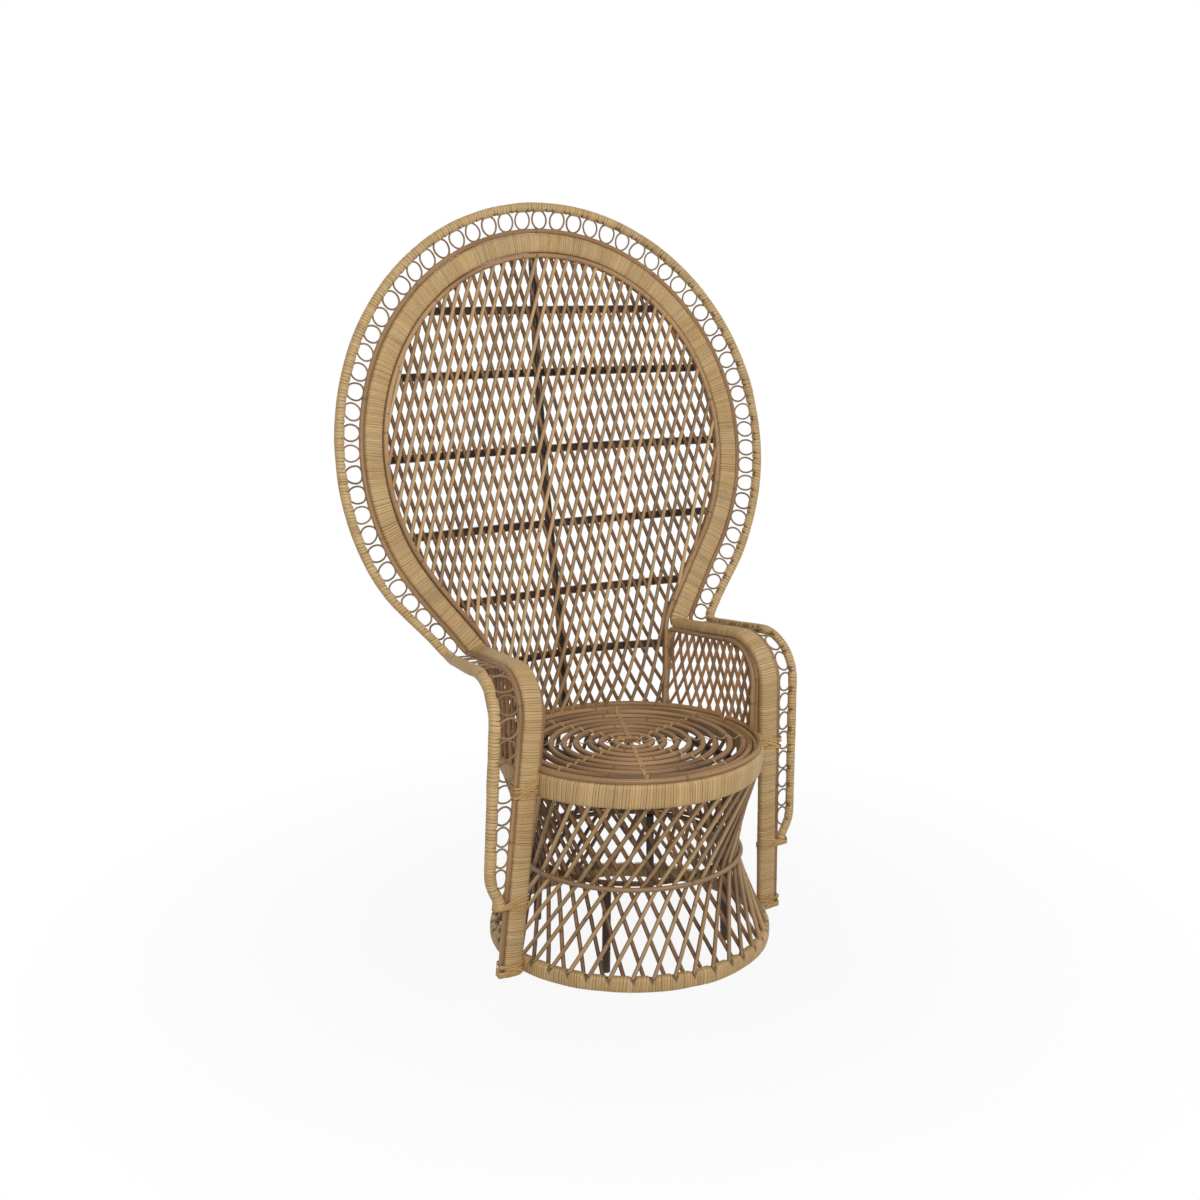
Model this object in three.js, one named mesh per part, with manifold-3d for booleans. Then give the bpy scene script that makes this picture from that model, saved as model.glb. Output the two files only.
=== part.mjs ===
// Rattan peacock chair, in millimetres, +Z up, facing -Y.
// A drum of crossed canes carries a coiled seat. A round lattice back with a looped edge stands on the
// seat's rim, and its broad wrapped band turns forward at each neck into an arm and a front leg.
import * as THREE from "three";
import Module from "manifold-3d";

const wasm = await Module();
wasm.setup();

// Driving dimensions
const gap = 0.3; // between pieces that touch
const rodGap = 0.9; // between a bent rod and what it is nailed to
const layerGap = 2.6; // between the two layers of a lattice, whose canes bend a little apart

// Drum and seat
const seatTop = 414.5;
const rimRadius = 274;
const rimHeight = 50;
const rimThick = 22;
const rimTaper = 4; // the rim is this much smaller in radius at its bottom edge
const baseRadius = 293.5;
const baseHeight = 32;
const baseThick = 20;
const waistRadius = 235.5;
const waistHeight = 187;
const waistRod = 10;
const drumCane = 9;
const drumCanes = 48; // in each direction
const lowerTwist = 15; // degrees round the drum, from the base ring to the waist
const upperTwist = 25; // degrees, from the waist to the rim
const caneSink = 4; // how far a cane's end goes into the ring that holds it
const coilRod = 11;
const coilTurns = 8.5;
const coilStart = 20; // radius of the coil's inner end
const coilRise = 3; // of the coil's top above the rim
const bearerRod = 16;
const postRod = 16;
const bindingWidth = 6;
const bindingThick = 1.2;
const bindings = 8;
const bindingTurn = 21; // degrees from +X to the first binding

// Back: a surface that leans and dishes, with a round outline
const ovalHeight = 988; // of the oval's centre
const ovalRadius = 503; // of the outer hoop's centre line
const shoulderAngle = 33; // degrees below level, where the outline leaves its circle for the necks
const backFoot = 188.4; // how far back the leaning part would meet the seat
const backLean = 0.27;
const backBend = 9e-5;
const backDish = 0.00018;
const sweepTop = 760; // below this height the back curves out to follow the rim
const footHalf = 207; // half the back's width at the seat
const hoopRod = 18;
const loopSize = 36.4;
const loopLength = 34;
const loopCane = 3.6;
const loopPitch = 39.3;
const loopSink = 2;
const edgeRod = 10;
const bandWidth = 40;
const bandThick = 20;
const bandCorner = 4;
const rimRod = 11;
const rearRimRod = 10;
const backCane = 8.5;
const canePitch = 25.6;
const frontLean = 21; // degrees from upright
const rearLean = 16.5;
const shortCane = 60; // shorter pieces of cane are left out
const crossRod = 12;
const crossHeights = [549, 685, 830, 988, 1149, 1280];
const poleRod = 14;

// Arms and front legs
const neckHeight = 590; // of the arm band's middle at the back
const neckHalf = 265;
const cornerHeight = 621; // where the lines of arm and leg would meet
const cornerY = -102;
const footY = -60;
const cornerRadius = 88;
const legRoom = 2.2; // between a leg and the rings beside it, for the straps
const panelRod = 10;
const panelCane = 7;
const panelPitch = 26;
const panelLean = 18; // degrees from upright
const armLoopPitch = 43;
const panelInset = 6; // of the side panel's foot from the rim's outside
const panelCorner = 20;
const hoopEnd = 150; // height where the arm's hoop ends on the leg
const hoopTurn = 250; // height where it starts to turn in
const strapThick = 1.4;
const strapHeight = 14;
const strapFoot = 14; // height of the foot strap's middle

// Faceting
const arcSteps = 30;
const cornerSteps = 6;
const coilSteps = 20;
const hoopSides = 8;
const coilSides = 5;
const panelStep = 50; // longest straight of a panel's rod
const loopSteps = 6;
const loopSides = 3;

const degrees = Math.PI / 180;
const vec = (x, y, z) => new THREE.Vector3(x, y, z);
const up = vec(0, 0, 1);
const across = vec(1, 0, 0);

const finish = (colour, roughness) => ({ color: colour, roughness, metalness: 0 });
const peel = finish(0xc6a56c, 0.55);
const cane = finish(0xa98252, 0.6);
const bark = finish(0x8e6439, 0.6);
const stained = finish(0x2e1c12, 0.5);

const chair = new THREE.Group();

function addPiece(name, geometry, look) {
  geometry.computeVertexNormals();
  const mesh = new THREE.Mesh(geometry, new THREE.MeshStandardMaterial(look));
  mesh.name = name;
  chair.add(mesh);
}

// Sections, as points in a sweep's own two directions
function roundSection(diameter, sides) {
  return Array.from({ length: sides }, (_, i) => {
    const angle = (2 * Math.PI * i) / sides;
    return [(Math.cos(angle) * diameter) / 2, (Math.sin(angle) * diameter) / 2];
  });
}

function boxSection(width, thick) {
  const w = width / 2;
  const t = thick / 2;
  return [[w, -t], [w, t], [-w, t], [-w, -t]];
}

// A cane is a square bar with the area of its round section
const squareSide = (diameter) => (diameter * Math.sqrt(Math.PI)) / 2;
const caneSection = (diameter) => boxSection(squareSide(diameter), squareSide(diameter));

function barSection(width, thick, corner) {
  const w = width / 2;
  const t = thick / 2;
  const half = [
    [w, corner - t],
    [w, t - corner],
    [w - corner, t],
    [corner - w, t],
  ];
  return [...half, ...half.map(([u, v]) => [-u, -v])];
}

// A closed solid along a line of points. side gives the section's first direction, and flat the heights
// at which the ends are cut level.
function sweep(points, section, side, { closed = false, flat = [null, null] } = {}) {
  const count = points.length;
  const sides = section.length;
  const vertices = [];
  points.forEach((point, i) => {
    const along = vec(0, 0, 0);
    if (closed || i > 0) along.add(point.clone().sub(points[(i + count - 1) % count]).normalize());
    if (closed || i < count - 1) along.add(points[(i + 1) % count].clone().sub(point).normalize());
    along.normalize();
    const u = (typeof side === "function" ? side(point, i) : side).clone();
    u.addScaledVector(along, -u.dot(along)).normalize();
    const v = along.clone().cross(u);
    const level = i === 0 ? flat[0] : i === count - 1 ? flat[1] : null;
    for (const [a, b] of section) {
      const vertex = point.clone().addScaledVector(u, a).addScaledVector(v, b);
      if (level !== null) vertex.addScaledVector(along, (level - vertex.z) / along.z);
      vertices.push(vertex);
    }
  });
  const faces = [];
  for (let i = 0; i < (closed ? count : count - 1); i++) {
    for (let j = 0; j < sides; j++) {
      const next = (j + 1) % sides;
      const a = i * sides;
      const b = ((i + 1) % count) * sides;
      faces.push(a + j, a + next, b + next, a + j, b + next, b + j);
    }
  }
  if (!closed) {
    const last = (count - 1) * sides;
    for (let j = 1; j < sides - 1; j++) faces.push(0, j + 1, j, last, last + j, last + j + 1);
  }
  return new THREE.BufferGeometry().setFromPoints(vertices).setIndex(faces);
}

// One geometry out of several that overlap
function join(geometries) {
  const solids = geometries.map((geometry) => {
    const vertProperties = new Float32Array(geometry.attributes.position.array);
    const triVerts = new Uint32Array(geometry.index.array);
    return new wasm.Manifold(new wasm.Mesh({ numProp: 3, vertProperties, triVerts }));
  });
  const mesh = solids.reduce((whole, solid) => whole.add(solid)).getMesh();
  return new THREE.BufferGeometry()
    .setAttribute("position", new THREE.BufferAttribute(mesh.vertProperties, 3))
    .setIndex(new THREE.BufferAttribute(mesh.triVerts, 1));
}

// A line of points whose inner corners are rounded by the radii given
function rounded(points, radii) {
  const line = [points[0]];
  for (let i = 1; i < points.length - 1; i++) {
    const toStart = points[i - 1].clone().sub(points[i]).normalize();
    const toEnd = points[i + 1].clone().sub(points[i]).normalize();
    const half = toStart.angleTo(toEnd) / 2;
    const middle = toStart.clone().add(toEnd).normalize();
    const centre = points[i].clone().addScaledVector(middle, radii[i - 1] / Math.sin(half));
    const cut = radii[i - 1] / Math.tan(half);
    const from = points[i].clone().addScaledVector(toStart, cut).sub(centre);
    const to = points[i].clone().addScaledVector(toEnd, cut).sub(centre);
    const sweepAngle = from.angleTo(to);
    for (let step = 0; step <= cornerSteps; step++) {
      const t = step / cornerSteps;
      const a = Math.sin((1 - t) * sweepAngle) / Math.sin(sweepAngle);
      const b = Math.sin(t * sweepAngle) / Math.sin(sweepAngle);
      line.push(centre.clone().addScaledVector(from, a).addScaledVector(to, b));
    }
  }
  line.push(points[points.length - 1]);
  return line;
}

// The same line with points added so that no step is much longer than the length given
function divided(line, longest) {
  return line.flatMap((point, i) => {
    if (i === line.length - 1) return [point];
    const steps = Math.max(1, Math.round(point.distanceTo(line[i + 1]) / longest));
    return Array.from({ length: steps }, (_, n) => point.clone().lerp(line[i + 1], n / steps));
  });
}

// Places at an even pitch along a line, each with the line's direction
function evenly(line, pitch) {
  const lengths = line.slice(1).map((point, i) => point.distanceTo(line[i]));
  const whole = lengths.reduce((sum, length) => sum + length, 0);
  const count = Math.round(whole / pitch);
  return Array.from({ length: count }, (_, n) => {
    let rest = ((n + 0.5) * whole) / count;
    let i = 0;
    while (rest > lengths[i]) rest -= lengths[i++];
    const along = line[i + 1].clone().sub(line[i]).normalize();
    return { at: line[i].clone().addScaledVector(along, rest), along };
  });
}

// Drum: two layers of canes that cross, held by the base ring, the waist hoop and the rim
const polar = (radius, angle, z) => vec(radius * Math.cos(angle), radius * Math.sin(angle), z);
const caneStep = (2 * Math.PI) / drumCanes;
const rimBottom = seatTop - rimHeight;
const rimInside = rimRadius - rimThick;
const layer = drumCane + 2 * rodGap;
const outerWaist = waistRadius - waistRod - rodGap - drumCane / 2;
const outerFoot = baseRadius - baseThick / 2 + drumCane / 4;
const outerHead = rimRadius - rimTaper - gap - drumCane / 2;

function circle(radius, z, steps, turn = 0) {
  return Array.from({ length: steps }, (_, i) => polar(radius, ((i + turn) * 2 * Math.PI) / steps, z));
}

function drumCaneAt(i, lean, inset, lowEnd, highEnd) {
  const angle = i * caneStep;
  const foot = polar(outerFoot - inset, angle - lean * lowerTwist * degrees, baseHeight);
  const waist = polar(outerWaist - inset, angle, waistHeight);
  const head = polar(outerHead - inset, angle + lean * upperTwist * degrees, rimBottom);
  const outward = (point) => vec(point.x, point.y, 0);
  return sweep([foot, waist, head], caneSection(drumCane), outward, {
    flat: [baseHeight + lowEnd, rimBottom + highEnd],
  });
}

const drumLayer = (lean, inset, lowEnd, highEnd) =>
  Array.from({ length: drumCanes }, (_, i) => drumCaneAt(i, lean, inset, lowEnd, highEnd));

const baseSection = boxSection(baseHeight, baseThick);
const baseLine = circle(baseRadius - baseThick / 2, baseHeight / 2, drumCanes, 0.5);
const baseRing = sweep(baseLine, baseSection, up, { closed: true });
addPiece("base_ring", join([baseRing, ...drumLayer(1, 0, -caneSink, -gap)]), peel);

const tapered = ([u, v]) => [u, v + rimTaper * (u / rimHeight - 0.5)];
const rimSection = boxSection(rimHeight, rimThick).map(tapered);
const rimLine = circle(rimRadius - rimThick / 2, seatTop - rimHeight / 2, drumCanes, 0.5);
const seatRim = sweep(rimLine, rimSection, up, { closed: true });
addPiece("seat_rim", join([seatRim, ...drumLayer(-1, layer, gap, caneSink)]), peel);

const waistLine = circle(waistRadius - waistRod / 2, waistHeight, drumCanes);
addPiece("waist_hoop", sweep(waistLine, roundSection(waistRod, 4), up, { closed: true }), bark);

// Seat: one unbroken coil on two bearers, which stand on four posts
const coilMiddle = seatTop + coilRise - coilRod / 2;
const coilEnd = rimInside - gap - coilRod / 2;
const coilLine = Array.from({ length: coilTurns * coilSteps + 1 }, (_, i) => {
  const turn = i / coilSteps;
  return polar(coilStart + ((coilEnd - coilStart) * turn) / coilTurns, turn * 2 * Math.PI, coilMiddle);
});
addPiece("seat_coil", sweep(coilLine, roundSection(coilRod, coilSides), up), cane);

let leastGap = Infinity;
coilLine.forEach((point, i) => {
  for (let j = i + coilSteps / 2; j < coilLine.length; j++) {
    leastGap = Math.min(leastGap, point.distanceTo(coilLine[j]) - coilRod);
  }
});
console.log("seat coil, least gap to itself: " + leastGap.toFixed(1) + " mm");

const bearerMiddle = seatTop + coilRise - coilRod - gap - bearerRod / 2;
const postAt = (outerWaist - layer - drumCane / 2 - gap - postRod / 2) / Math.SQRT2;
const bearerHalf = Math.sqrt((rimInside - rimTaper - gap) ** 2 - (postAt + bearerRod / 2) ** 2);
for (const [hand, right] of [["left", -1], ["right", 1]]) {
  const ends = [-bearerHalf, bearerHalf].map((y) => vec(right * postAt, y, bearerMiddle));
  addPiece(hand + "_seat_bearer", sweep(ends, roundSection(bearerRod, 8), up), stained);
  for (const [place, back] of [["front", -1], ["rear", 1]]) {
    const heights = [0, bearerMiddle - bearerRod / 2 - gap];
    const line = heights.map((z) => vec(right * postAt, back * postAt, z));
    addPiece(hand + "_" + place + "_post", sweep(line, roundSection(postRod, 8), across), stained);
  }
}

const bindingMiddle = seatTop + coilRise + gap + bindingThick / 2;
for (let i = 0; i < bindings; i++) {
  const angle = bindingTurn * degrees + (i * 2 * Math.PI) / bindings;
  const line = [coilStart, coilEnd].map((radius) => polar(radius, angle, bindingMiddle));
  addPiece("seat_binding_" + (i + 1), sweep(line, boxSection(bindingThick, bindingWidth), up), peel);
}

// Back surface: how far back it lies at a place in the front view, and a point off it by a distance
// along its own normal, to the back if positive
const sweepShare = (z) => (Math.max(0, sweepTop - z) / (sweepTop - seatTop)) ** 3;
const backMiddle = rimRadius - rimThick / 2;
const footReach = Math.sqrt((rimRadius + rimRod / 2) ** 2 - footHalf ** 2);
const footDish = (backMiddle - footReach) / footHalf ** 2 - backDish;
const ovalTop = ovalHeight + ovalRadius;

function backY(x, z) {
  const rise = z - seatTop;
  const low = sweepShare(z);
  const dish = backDish + footDish * low;
  return backFoot + backLean * rise - backBend * rise ** 2 + (backMiddle - backFoot) * low - dish * x ** 2;
}

function backNormal(x, z) {
  const slopeX = (backY(x + 1, z) - backY(x - 1, z)) / 2;
  const slopeZ = (backY(x, z + 1) - backY(x, z - 1)) / 2;
  return vec(-slopeX, 1, -slopeZ).normalize();
}

const backPoint = (x, z, off) => vec(x, backY(x, z), z).addScaledVector(backNormal(x, z), off);
const backSide = (point) => backNormal(point.x, point.z);

// Rings of the back, from the outer hoop inwards
const loopRadius = ovalRadius - hoopRod / 2 - gap - loopSize / 2;
const edgeRadius = loopRadius - loopSize / 2 + loopSink - edgeRod / 2;
const bandRadius = edgeRadius - edgeRod / 2 - gap - bandWidth / 2;
const rimRodRadius = bandRadius - bandWidth / 2 - gap - rimRod / 2;
const neckY = backY(neckHalf, neckHeight);
const armSlope = (cornerHeight - neckHeight) / (neckY - cornerY);
const armHeight = (y) => neckHeight + armSlope * (neckY - y);
const neckTop = armHeight(neckY - bandThick) + bandThick / 2 + gap;
const shoulder = shoulderAngle * degrees;

// The outline at a radius, from the left neck over the top to the right one, in the front view
function ovalLine(radius, end = neckTop) {
  const rightSide = vec(radius * Math.cos(shoulder), 0, ovalHeight - radius * Math.sin(shoulder));
  const neck = vec(rightSide.x - (rightSide.z - end) * Math.tan(shoulder), 0, end);
  const line = [];
  for (let i = 0; i <= arcSteps; i++) {
    const angle = Math.PI + shoulder - ((Math.PI + 2 * shoulder) * i) / arcSteps;
    line.push(vec(radius * Math.cos(angle), 0, ovalHeight + radius * Math.sin(angle)));
  }
  const middles = [0, 0.5].map((t) => neck.clone().lerp(rightSide, t));
  const mirrored = middles.map((point) => vec(-point.x, 0, point.z));
  return [...mirrored, ...line, ...middles.reverse()];
}

const onBack = (line, off) => line.map((point) => backPoint(point.x, point.z, off));
const neckEnds = { flat: [neckTop, neckTop] };

// The hoop's ends stand on the arms' hoops
const hoopNeckY = backY(ovalLine(ovalRadius)[0].x, neckTop) - hoopRod / 2;
const hoopNeck = armHeight(hoopNeckY) + hoopRod / 2 + gap;
const hoopLine = onBack(ovalLine(ovalRadius, hoopNeck), 0);
const hoopEnds = { flat: [hoopNeck, hoopNeck] };
addPiece("back_hoop", sweep(hoopLine, roundSection(hoopRod, hoopSides), backSide, hoopEnds), peel);
const bandSection = barSection(bandThick, bandWidth, bandCorner);
addPiece("back_band", sweep(onBack(ovalLine(bandRadius), 0), bandSection, backSide, neckEnds), peel);

// A loop of thin cane beside its edge rod, whose middle is the place given
const loopReach = edgeRod / 2 - loopSink + loopSize / 2;

function loop(place, radial, along, side) {
  const points = Array.from({ length: loopSteps }, (_, i) => {
    const angle = (i * 2 * Math.PI) / loopSteps;
    const out = loopReach + (Math.cos(angle) * (loopSize - loopCane)) / 2;
    const length = (Math.sin(angle) * (loopLength - loopCane)) / 2;
    return place.clone().addScaledVector(radial, out).addScaledVector(along, length);
  });
  return sweep(points, roundSection(loopCane, loopSides), side, { closed: true });
}

const edgeLine = onBack(ovalLine(edgeRadius), 0);
const backLoops = evenly(edgeLine, loopPitch).map(({ at, along }) => {
  const normal = backSide(at);
  return loop(at, along.clone().cross(normal).normalize(), along, normal);
});
const backEdge = sweep(edgeLine, caneSection(edgeRod), backSide, neckEnds);
addPiece("back_edge_rod", join([backEdge, ...backLoops]), bark);

// Lattice: parallel canes inside an outline, in coordinates (across, height) of a surface
function lattice(outline, surface, side, { lean, pitch, diameter, off, levels, floor }) {
  const slope = Math.tan(lean * degrees);
  const places = outline.map(([a, b]) => a - slope * b);
  const low = Math.ceil(Math.min(...places) / pitch);
  const high = Math.floor(Math.max(...places) / pitch);
  const canes = [];
  for (let i = low; i <= high; i++) {
    const start = i * pitch;
    const cuts = [];
    places.forEach((place, n) => {
      const next = (n + 1) % places.length;
      const share = (start - place) / (places[next] - place);
      if (share >= 0 && share < 1) cuts.push(outline[n][1] + share * (outline[next][1] - outline[n][1]));
    });
    cuts.sort((p, q) => p - q);
    for (let n = 0; n + 1 < cuts.length; n += 2) {
      if (cuts[n + 1] - cuts[n] < shortCane) continue;
      const heights = [cuts[n], ...levels.filter((z) => z > cuts[n] + 1 && z < cuts[n + 1] - 1), cuts[n + 1]];
      const line = heights.map((z) => surface(start + slope * z, z, off));
      const end = cuts[n] < floor + gap ? floor : null;
      canes.push(sweep(line, caneSection(diameter), side, { flat: [end, null] }));
    }
  }
  return canes;
}

const latticeFloor = seatTop + gap;
const caneOff = (squareSide(backCane) + layerGap) / 2;

// Canes run straight between these heights, and what they are fixed to follows the same flats
const lowSteps = 5;
const backLevels = [];
for (let i = 0; i < lowSteps; i++) {
  backLevels.push(sweepTop - (sweepTop - seatTop) * (1 - i / lowSteps) ** 0.75);
}
backLevels.push(sweepTop, (sweepTop + ovalTop) / 2, ovalTop);

function latticePoint(x, z, off) {
  const i = Math.max(0, backLevels.findIndex((level) => z <= level) - 1);
  const share = (z - backLevels[i]) / (backLevels[i + 1] - backLevels[i]);
  return backPoint(x, backLevels[i], off).lerp(backPoint(x, backLevels[i + 1], off), share);
}

const footHeights = [latticeFloor, ...backLevels.filter((z) => z > latticeFloor && z < neckTop - gap)];
const footPoints = footHeights.map((z) => {
  const share = (z - latticeFloor) / (neckTop - latticeFloor);
  return vec(footHalf + (ovalLine(rimRodRadius)[0].x * -1 - footHalf) * share, 0, z);
});
const rimOutline = [
  ...footPoints.map((point) => vec(-point.x, 0, point.z)),
  ...ovalLine(rimRodRadius),
  ...footPoints.reverse(),
];
const footEnds = { flat: [latticeFloor, latticeFloor] };
const rimShape = rimOutline.map((point) => [point.x, point.z]);
const backLayers = [
  ["back_lattice_front", frontLean, rimRod, -1],
  ["back_lattice_rear", -rearLean, rearRimRod, 1],
];
for (const [name, lean, rod, place] of backLayers) {
  const rodOff = (place * (squareSide(rod) + rodGap)) / 2;
  const rodLine = rimOutline.map((point) => latticePoint(point.x, point.z, rodOff));
  const settings = {
    lean,
    pitch: canePitch,
    diameter: backCane,
    off: place * caneOff,
    levels: backLevels,
    floor: latticeFloor,
  };
  const canes = lattice(rimShape, latticePoint, backSide, settings);
  addPiece(name, join([sweep(rodLine, caneSection(rod), backSide, footEnds), ...canes]), cane);
}

// Dark rods across the back, and the pole behind them down to the rim
function halfWidth(z) {
  const line = rimOutline.slice(rimOutline.length / 2);
  const i = line.findIndex((point, n) => line[n + 1].z <= z && z <= point.z);
  const share = (z - line[i].z) / (line[i + 1].z - line[i].z);
  return line[i].x + (line[i + 1].x - line[i].x) * share;
}

const crossOff = squareSide(rearRimRod) + rodGap / 2 + rodGap + crossRod / 2;
const crossSteps = 8;
crossHeights.forEach((z, n) => {
  const half = halfWidth(z);
  const line = Array.from({ length: crossSteps + 1 }, (_, i) => {
    return latticePoint(half * ((2 * i) / crossSteps - 1), z, crossOff);
  });
  addPiece("back_cross_rod_" + (n + 1), sweep(line, roundSection(crossRod, coilSides), backSide), stained);
});

const poleOff = crossOff + crossRod / 2 + gap + poleRod / 2;
const poleReach = rimRadius + gap + poleRod / 2;
const poleLine = [vec(0, poleReach, rimBottom), vec(0, poleReach, seatTop)];
for (const z of [...crossHeights, ovalHeight + bandRadius]) poleLine.push(latticePoint(0, z, poleOff));
addPiece("back_pole", sweep(poleLine, roundSection(poleRod, 8), across), stained);

// Arms: the band runs from the floor up the leg, round a corner and back to the neck
const besideRing = (radius, y) => Math.sqrt(radius ** 2 - (y + bandThick / 2) ** 2) + legRoom + bandWidth / 2;
const legY = (z) => footY + ((cornerY - footY) * z) / cornerHeight;
const footX = besideRing(baseRadius, footY);
const legLean = (besideRing(rimRadius, legY(seatTop)) - footX) / seatTop;
const legX = (z) => footX + legLean * z;
const legAt = (z) => vec(legX(z), legY(z), z);
const legDirection = legAt(1).sub(legAt(0)).normalize();

// Lines of the arm at a distance outside the band's middle, from the leg's foot to past the neck
function armPoints(out, past, foot = legAt(0)) {
  const corner = legAt(cornerHeight);
  const neck = vec(neckHalf, neckY, neckHeight);
  neck.addScaledVector(neck.clone().sub(corner).normalize(), past);
  return [foot, corner, neck].map((point) => point.clone().add(vec(out, 0, 0)));
}

const armEdge = bandWidth / 2 + gap + edgeRod / 2;
const armHoop = armEdge + loopReach + loopSize / 2 + gap + hoopRod / 2;
const hoopHome = armEdge + edgeRod / 2 + gap + hoopRod / 2;

// Side panels hang under the arm, on a surface between the rim and the arm's underside
const panelDrop = bandThick / 2 + rodGap + panelRod / 2;
const panelOff = (squareSide(panelRod) + rodGap) / 2;
const armFlare = (legX(cornerHeight) - neckHalf) / (neckY - cornerY);
const panelTopX = (y) => neckHalf + armFlare * (neckY - y) - bandWidth / 2 + gap;
const panelFoot = rimRadius - panelInset;
const panelDish = (panelFoot - footHalf - panelRod / 2) / footReach ** 2;
const armTop = (y) => armHeight(y) - panelDrop;

function panelX(y, z) {
  const share = (z - seatTop) / (armTop(y) - seatTop);
  return (panelFoot - panelDish * y ** 2) * (1 - share) + panelTopX(y) * share;
}

function panelNormal(y, z) {
  const slopeY = (panelX(y + 1, z) - panelX(y - 1, z)) / 2;
  const slopeZ = (panelX(y, z + 1) - panelX(y, z - 1)) / 2;
  return vec(1, -slopeY, -slopeZ).normalize();
}

const panelPoint = (y, z, off) => vec(panelX(y, z), y, z).addScaledVector(panelNormal(y, z), off);

// The outline of the panel's rods, in (y, z): down the leg, along the arm and down beside the back
function panelOutline() {
  const [foot, corner, neck] = armPoints(0, 0).map((point) => vec(0, point.y, point.z));
  const down = foot.clone().sub(corner).normalize();
  const back = neck.clone().sub(corner).normalize();
  const inward = panelDrop / Math.sin(down.angleTo(back));
  const inner = corner.clone().addScaledVector(down.clone().add(back), inward);
  const front = inner.clone().addScaledVector(down, (latticeFloor - inner.z) / down.z);
  const clear = rimRod * 1.5 + panelRod / 2 + rodGap;
  const rearTop = inner.clone().addScaledVector(back, (neckY - clear - inner.y) / back.y);
  const rearFoot = vec(0, footReach - clear, latticeFloor);
  const line = rounded([front, inner, rearTop, rearFoot], [cornerRadius - panelDrop, panelCorner]);
  return divided(line, panelStep);
}

const mirror = (right) => (point) => vec(right * point.x, point.y, point.z);

// A strap round the leg and what stands beside it, out to the distance given
function legStrap(z, outside) {
  const room = gap + strapThick / 2;
  const inner = -bandWidth / 2 - room;
  const outer = outside + room;
  const deep = bandThick / 2 + room;
  const corners = [[inner, -deep], [outer, -deep], [outer, deep], [inner, deep]];
  return corners.map(([x, y]) => legAt(z).add(vec(x, y, 0)));
}

function armHoopLine() {
  const [, corner, neck] = armPoints(armHoop, hoopRod / 2);
  const turnSteps = 5;
  const turnStart = hoopEnd + strapHeight + gap;
  const home = legAt(hoopEnd).add(vec(hoopHome, 0, 0));
  const turned = Array.from({ length: turnSteps }, (_, i) => {
    const share = i / turnSteps;
    const ease = (1 - Math.cos(Math.PI * share)) / 2;
    const z = turnStart + (hoopTurn - turnStart) * share;
    return legAt(z).add(vec(hoopHome + (armHoop - hoopHome) * ease, 0, 0));
  });
  const straight = legAt(hoopTurn).add(vec(armHoop, 0, 0));
  return [home, ...turned, ...rounded([straight, corner, neck], [cornerRadius])];
}

const levelFoot = { flat: [0, null] };
for (const [hand, right] of [["left", -1], ["right", 1]]) {
  const toSide = mirror(right);
  const place = (line) => line.map(toSide);
  const bandLine = rounded(armPoints(0, bandThick / 2), [cornerRadius]);
  const armBand = sweep(place(bandLine), barSection(bandWidth, bandThick, bandCorner), across, levelFoot);
  addPiece(hand + "_arm_band", armBand, peel);
  addPiece(hand + "_arm_hoop", sweep(place(armHoopLine()), roundSection(hoopRod, hoopSides), across), peel);

  const armEdgeLine = rounded(armPoints(armEdge, -bandThick / 2), [cornerRadius]);
  const loopLine = rounded(armPoints(armEdge, -loopLength, legAt(hoopTurn)), [cornerRadius]);
  const loopPlaces = evenly(place(loopLine), armLoopPitch);
  const armLoops = loopPlaces.map(({ at, along }) => {
    const outward = vec(right, 0, 0).addScaledVector(along, -right * along.x).normalize();
    return loop(at, outward, along, outward.clone().cross(along));
  });
  const armEdgeRod = sweep(place(armEdgeLine), caneSection(edgeRod), across, levelFoot);
  addPiece(hand + "_arm_edge_rod", join([armEdgeRod, ...armLoops]), bark);

  const outline = panelOutline();
  const shape = outline.map((point) => [point.y, point.z]);
  const surface = (y, z, off) => toSide(panelPoint(y, z, off));
  const panelSide = (point) => toSide(panelNormal(point.y, point.z));
  for (const [face, lean, inOut] of [["inner", -1, -1], ["outer", 1, 1]]) {
    const rodLine = outline.map((point) => surface(point.y, point.z, inOut * panelOff));
    const settings = {
      lean: lean * panelLean,
      pitch: panelPitch,
      diameter: panelCane,
      off: (inOut * (squareSide(panelCane) + layerGap)) / 2,
      levels: [(seatTop + neckHeight) / 2],
      floor: latticeFloor,
    };
    const frame = sweep(rodLine, caneSection(panelRod), panelSide, footEnds);
    addPiece(hand + "_panel_" + face, join([frame, ...lattice(shape, surface, panelSide, settings)]), cane);
  }

  const strapSection = boxSection(strapHeight, strapThick);
  const edgeOutside = armEdge + edgeRod / 2;
  const above = loopPlaces.findIndex(({ at }) => at.z > seatTop - rimHeight / 2);
  const betweenLoops = (loopPlaces[above].at.z + loopPlaces[above - 1].at.z) / 2;
  const straps = [
    ["foot_strap", strapFoot, edgeOutside],
    ["hoop_strap", hoopEnd + strapHeight / 2, hoopHome + hoopRod / 2],
    ["rim_strap", betweenLoops, edgeOutside],
  ];
  for (const [name, z, outside] of straps) {
    const ring = place(legStrap(z, outside));
    addPiece(hand + "_" + name, sweep(ring, strapSection, toSide(legDirection), { closed: true }), peel);
  }
}

// The origin is under the middle of the chair
const box = new THREE.Box3().setFromObject(chair);
chair.position.y = -(box.min.y + box.max.y) / 2;
const part = new THREE.Group();
part.add(chair);

export default part;
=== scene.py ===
import math
import bpy
import bmesh
import numpy as np
from mathutils import Matrix, Vector


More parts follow.
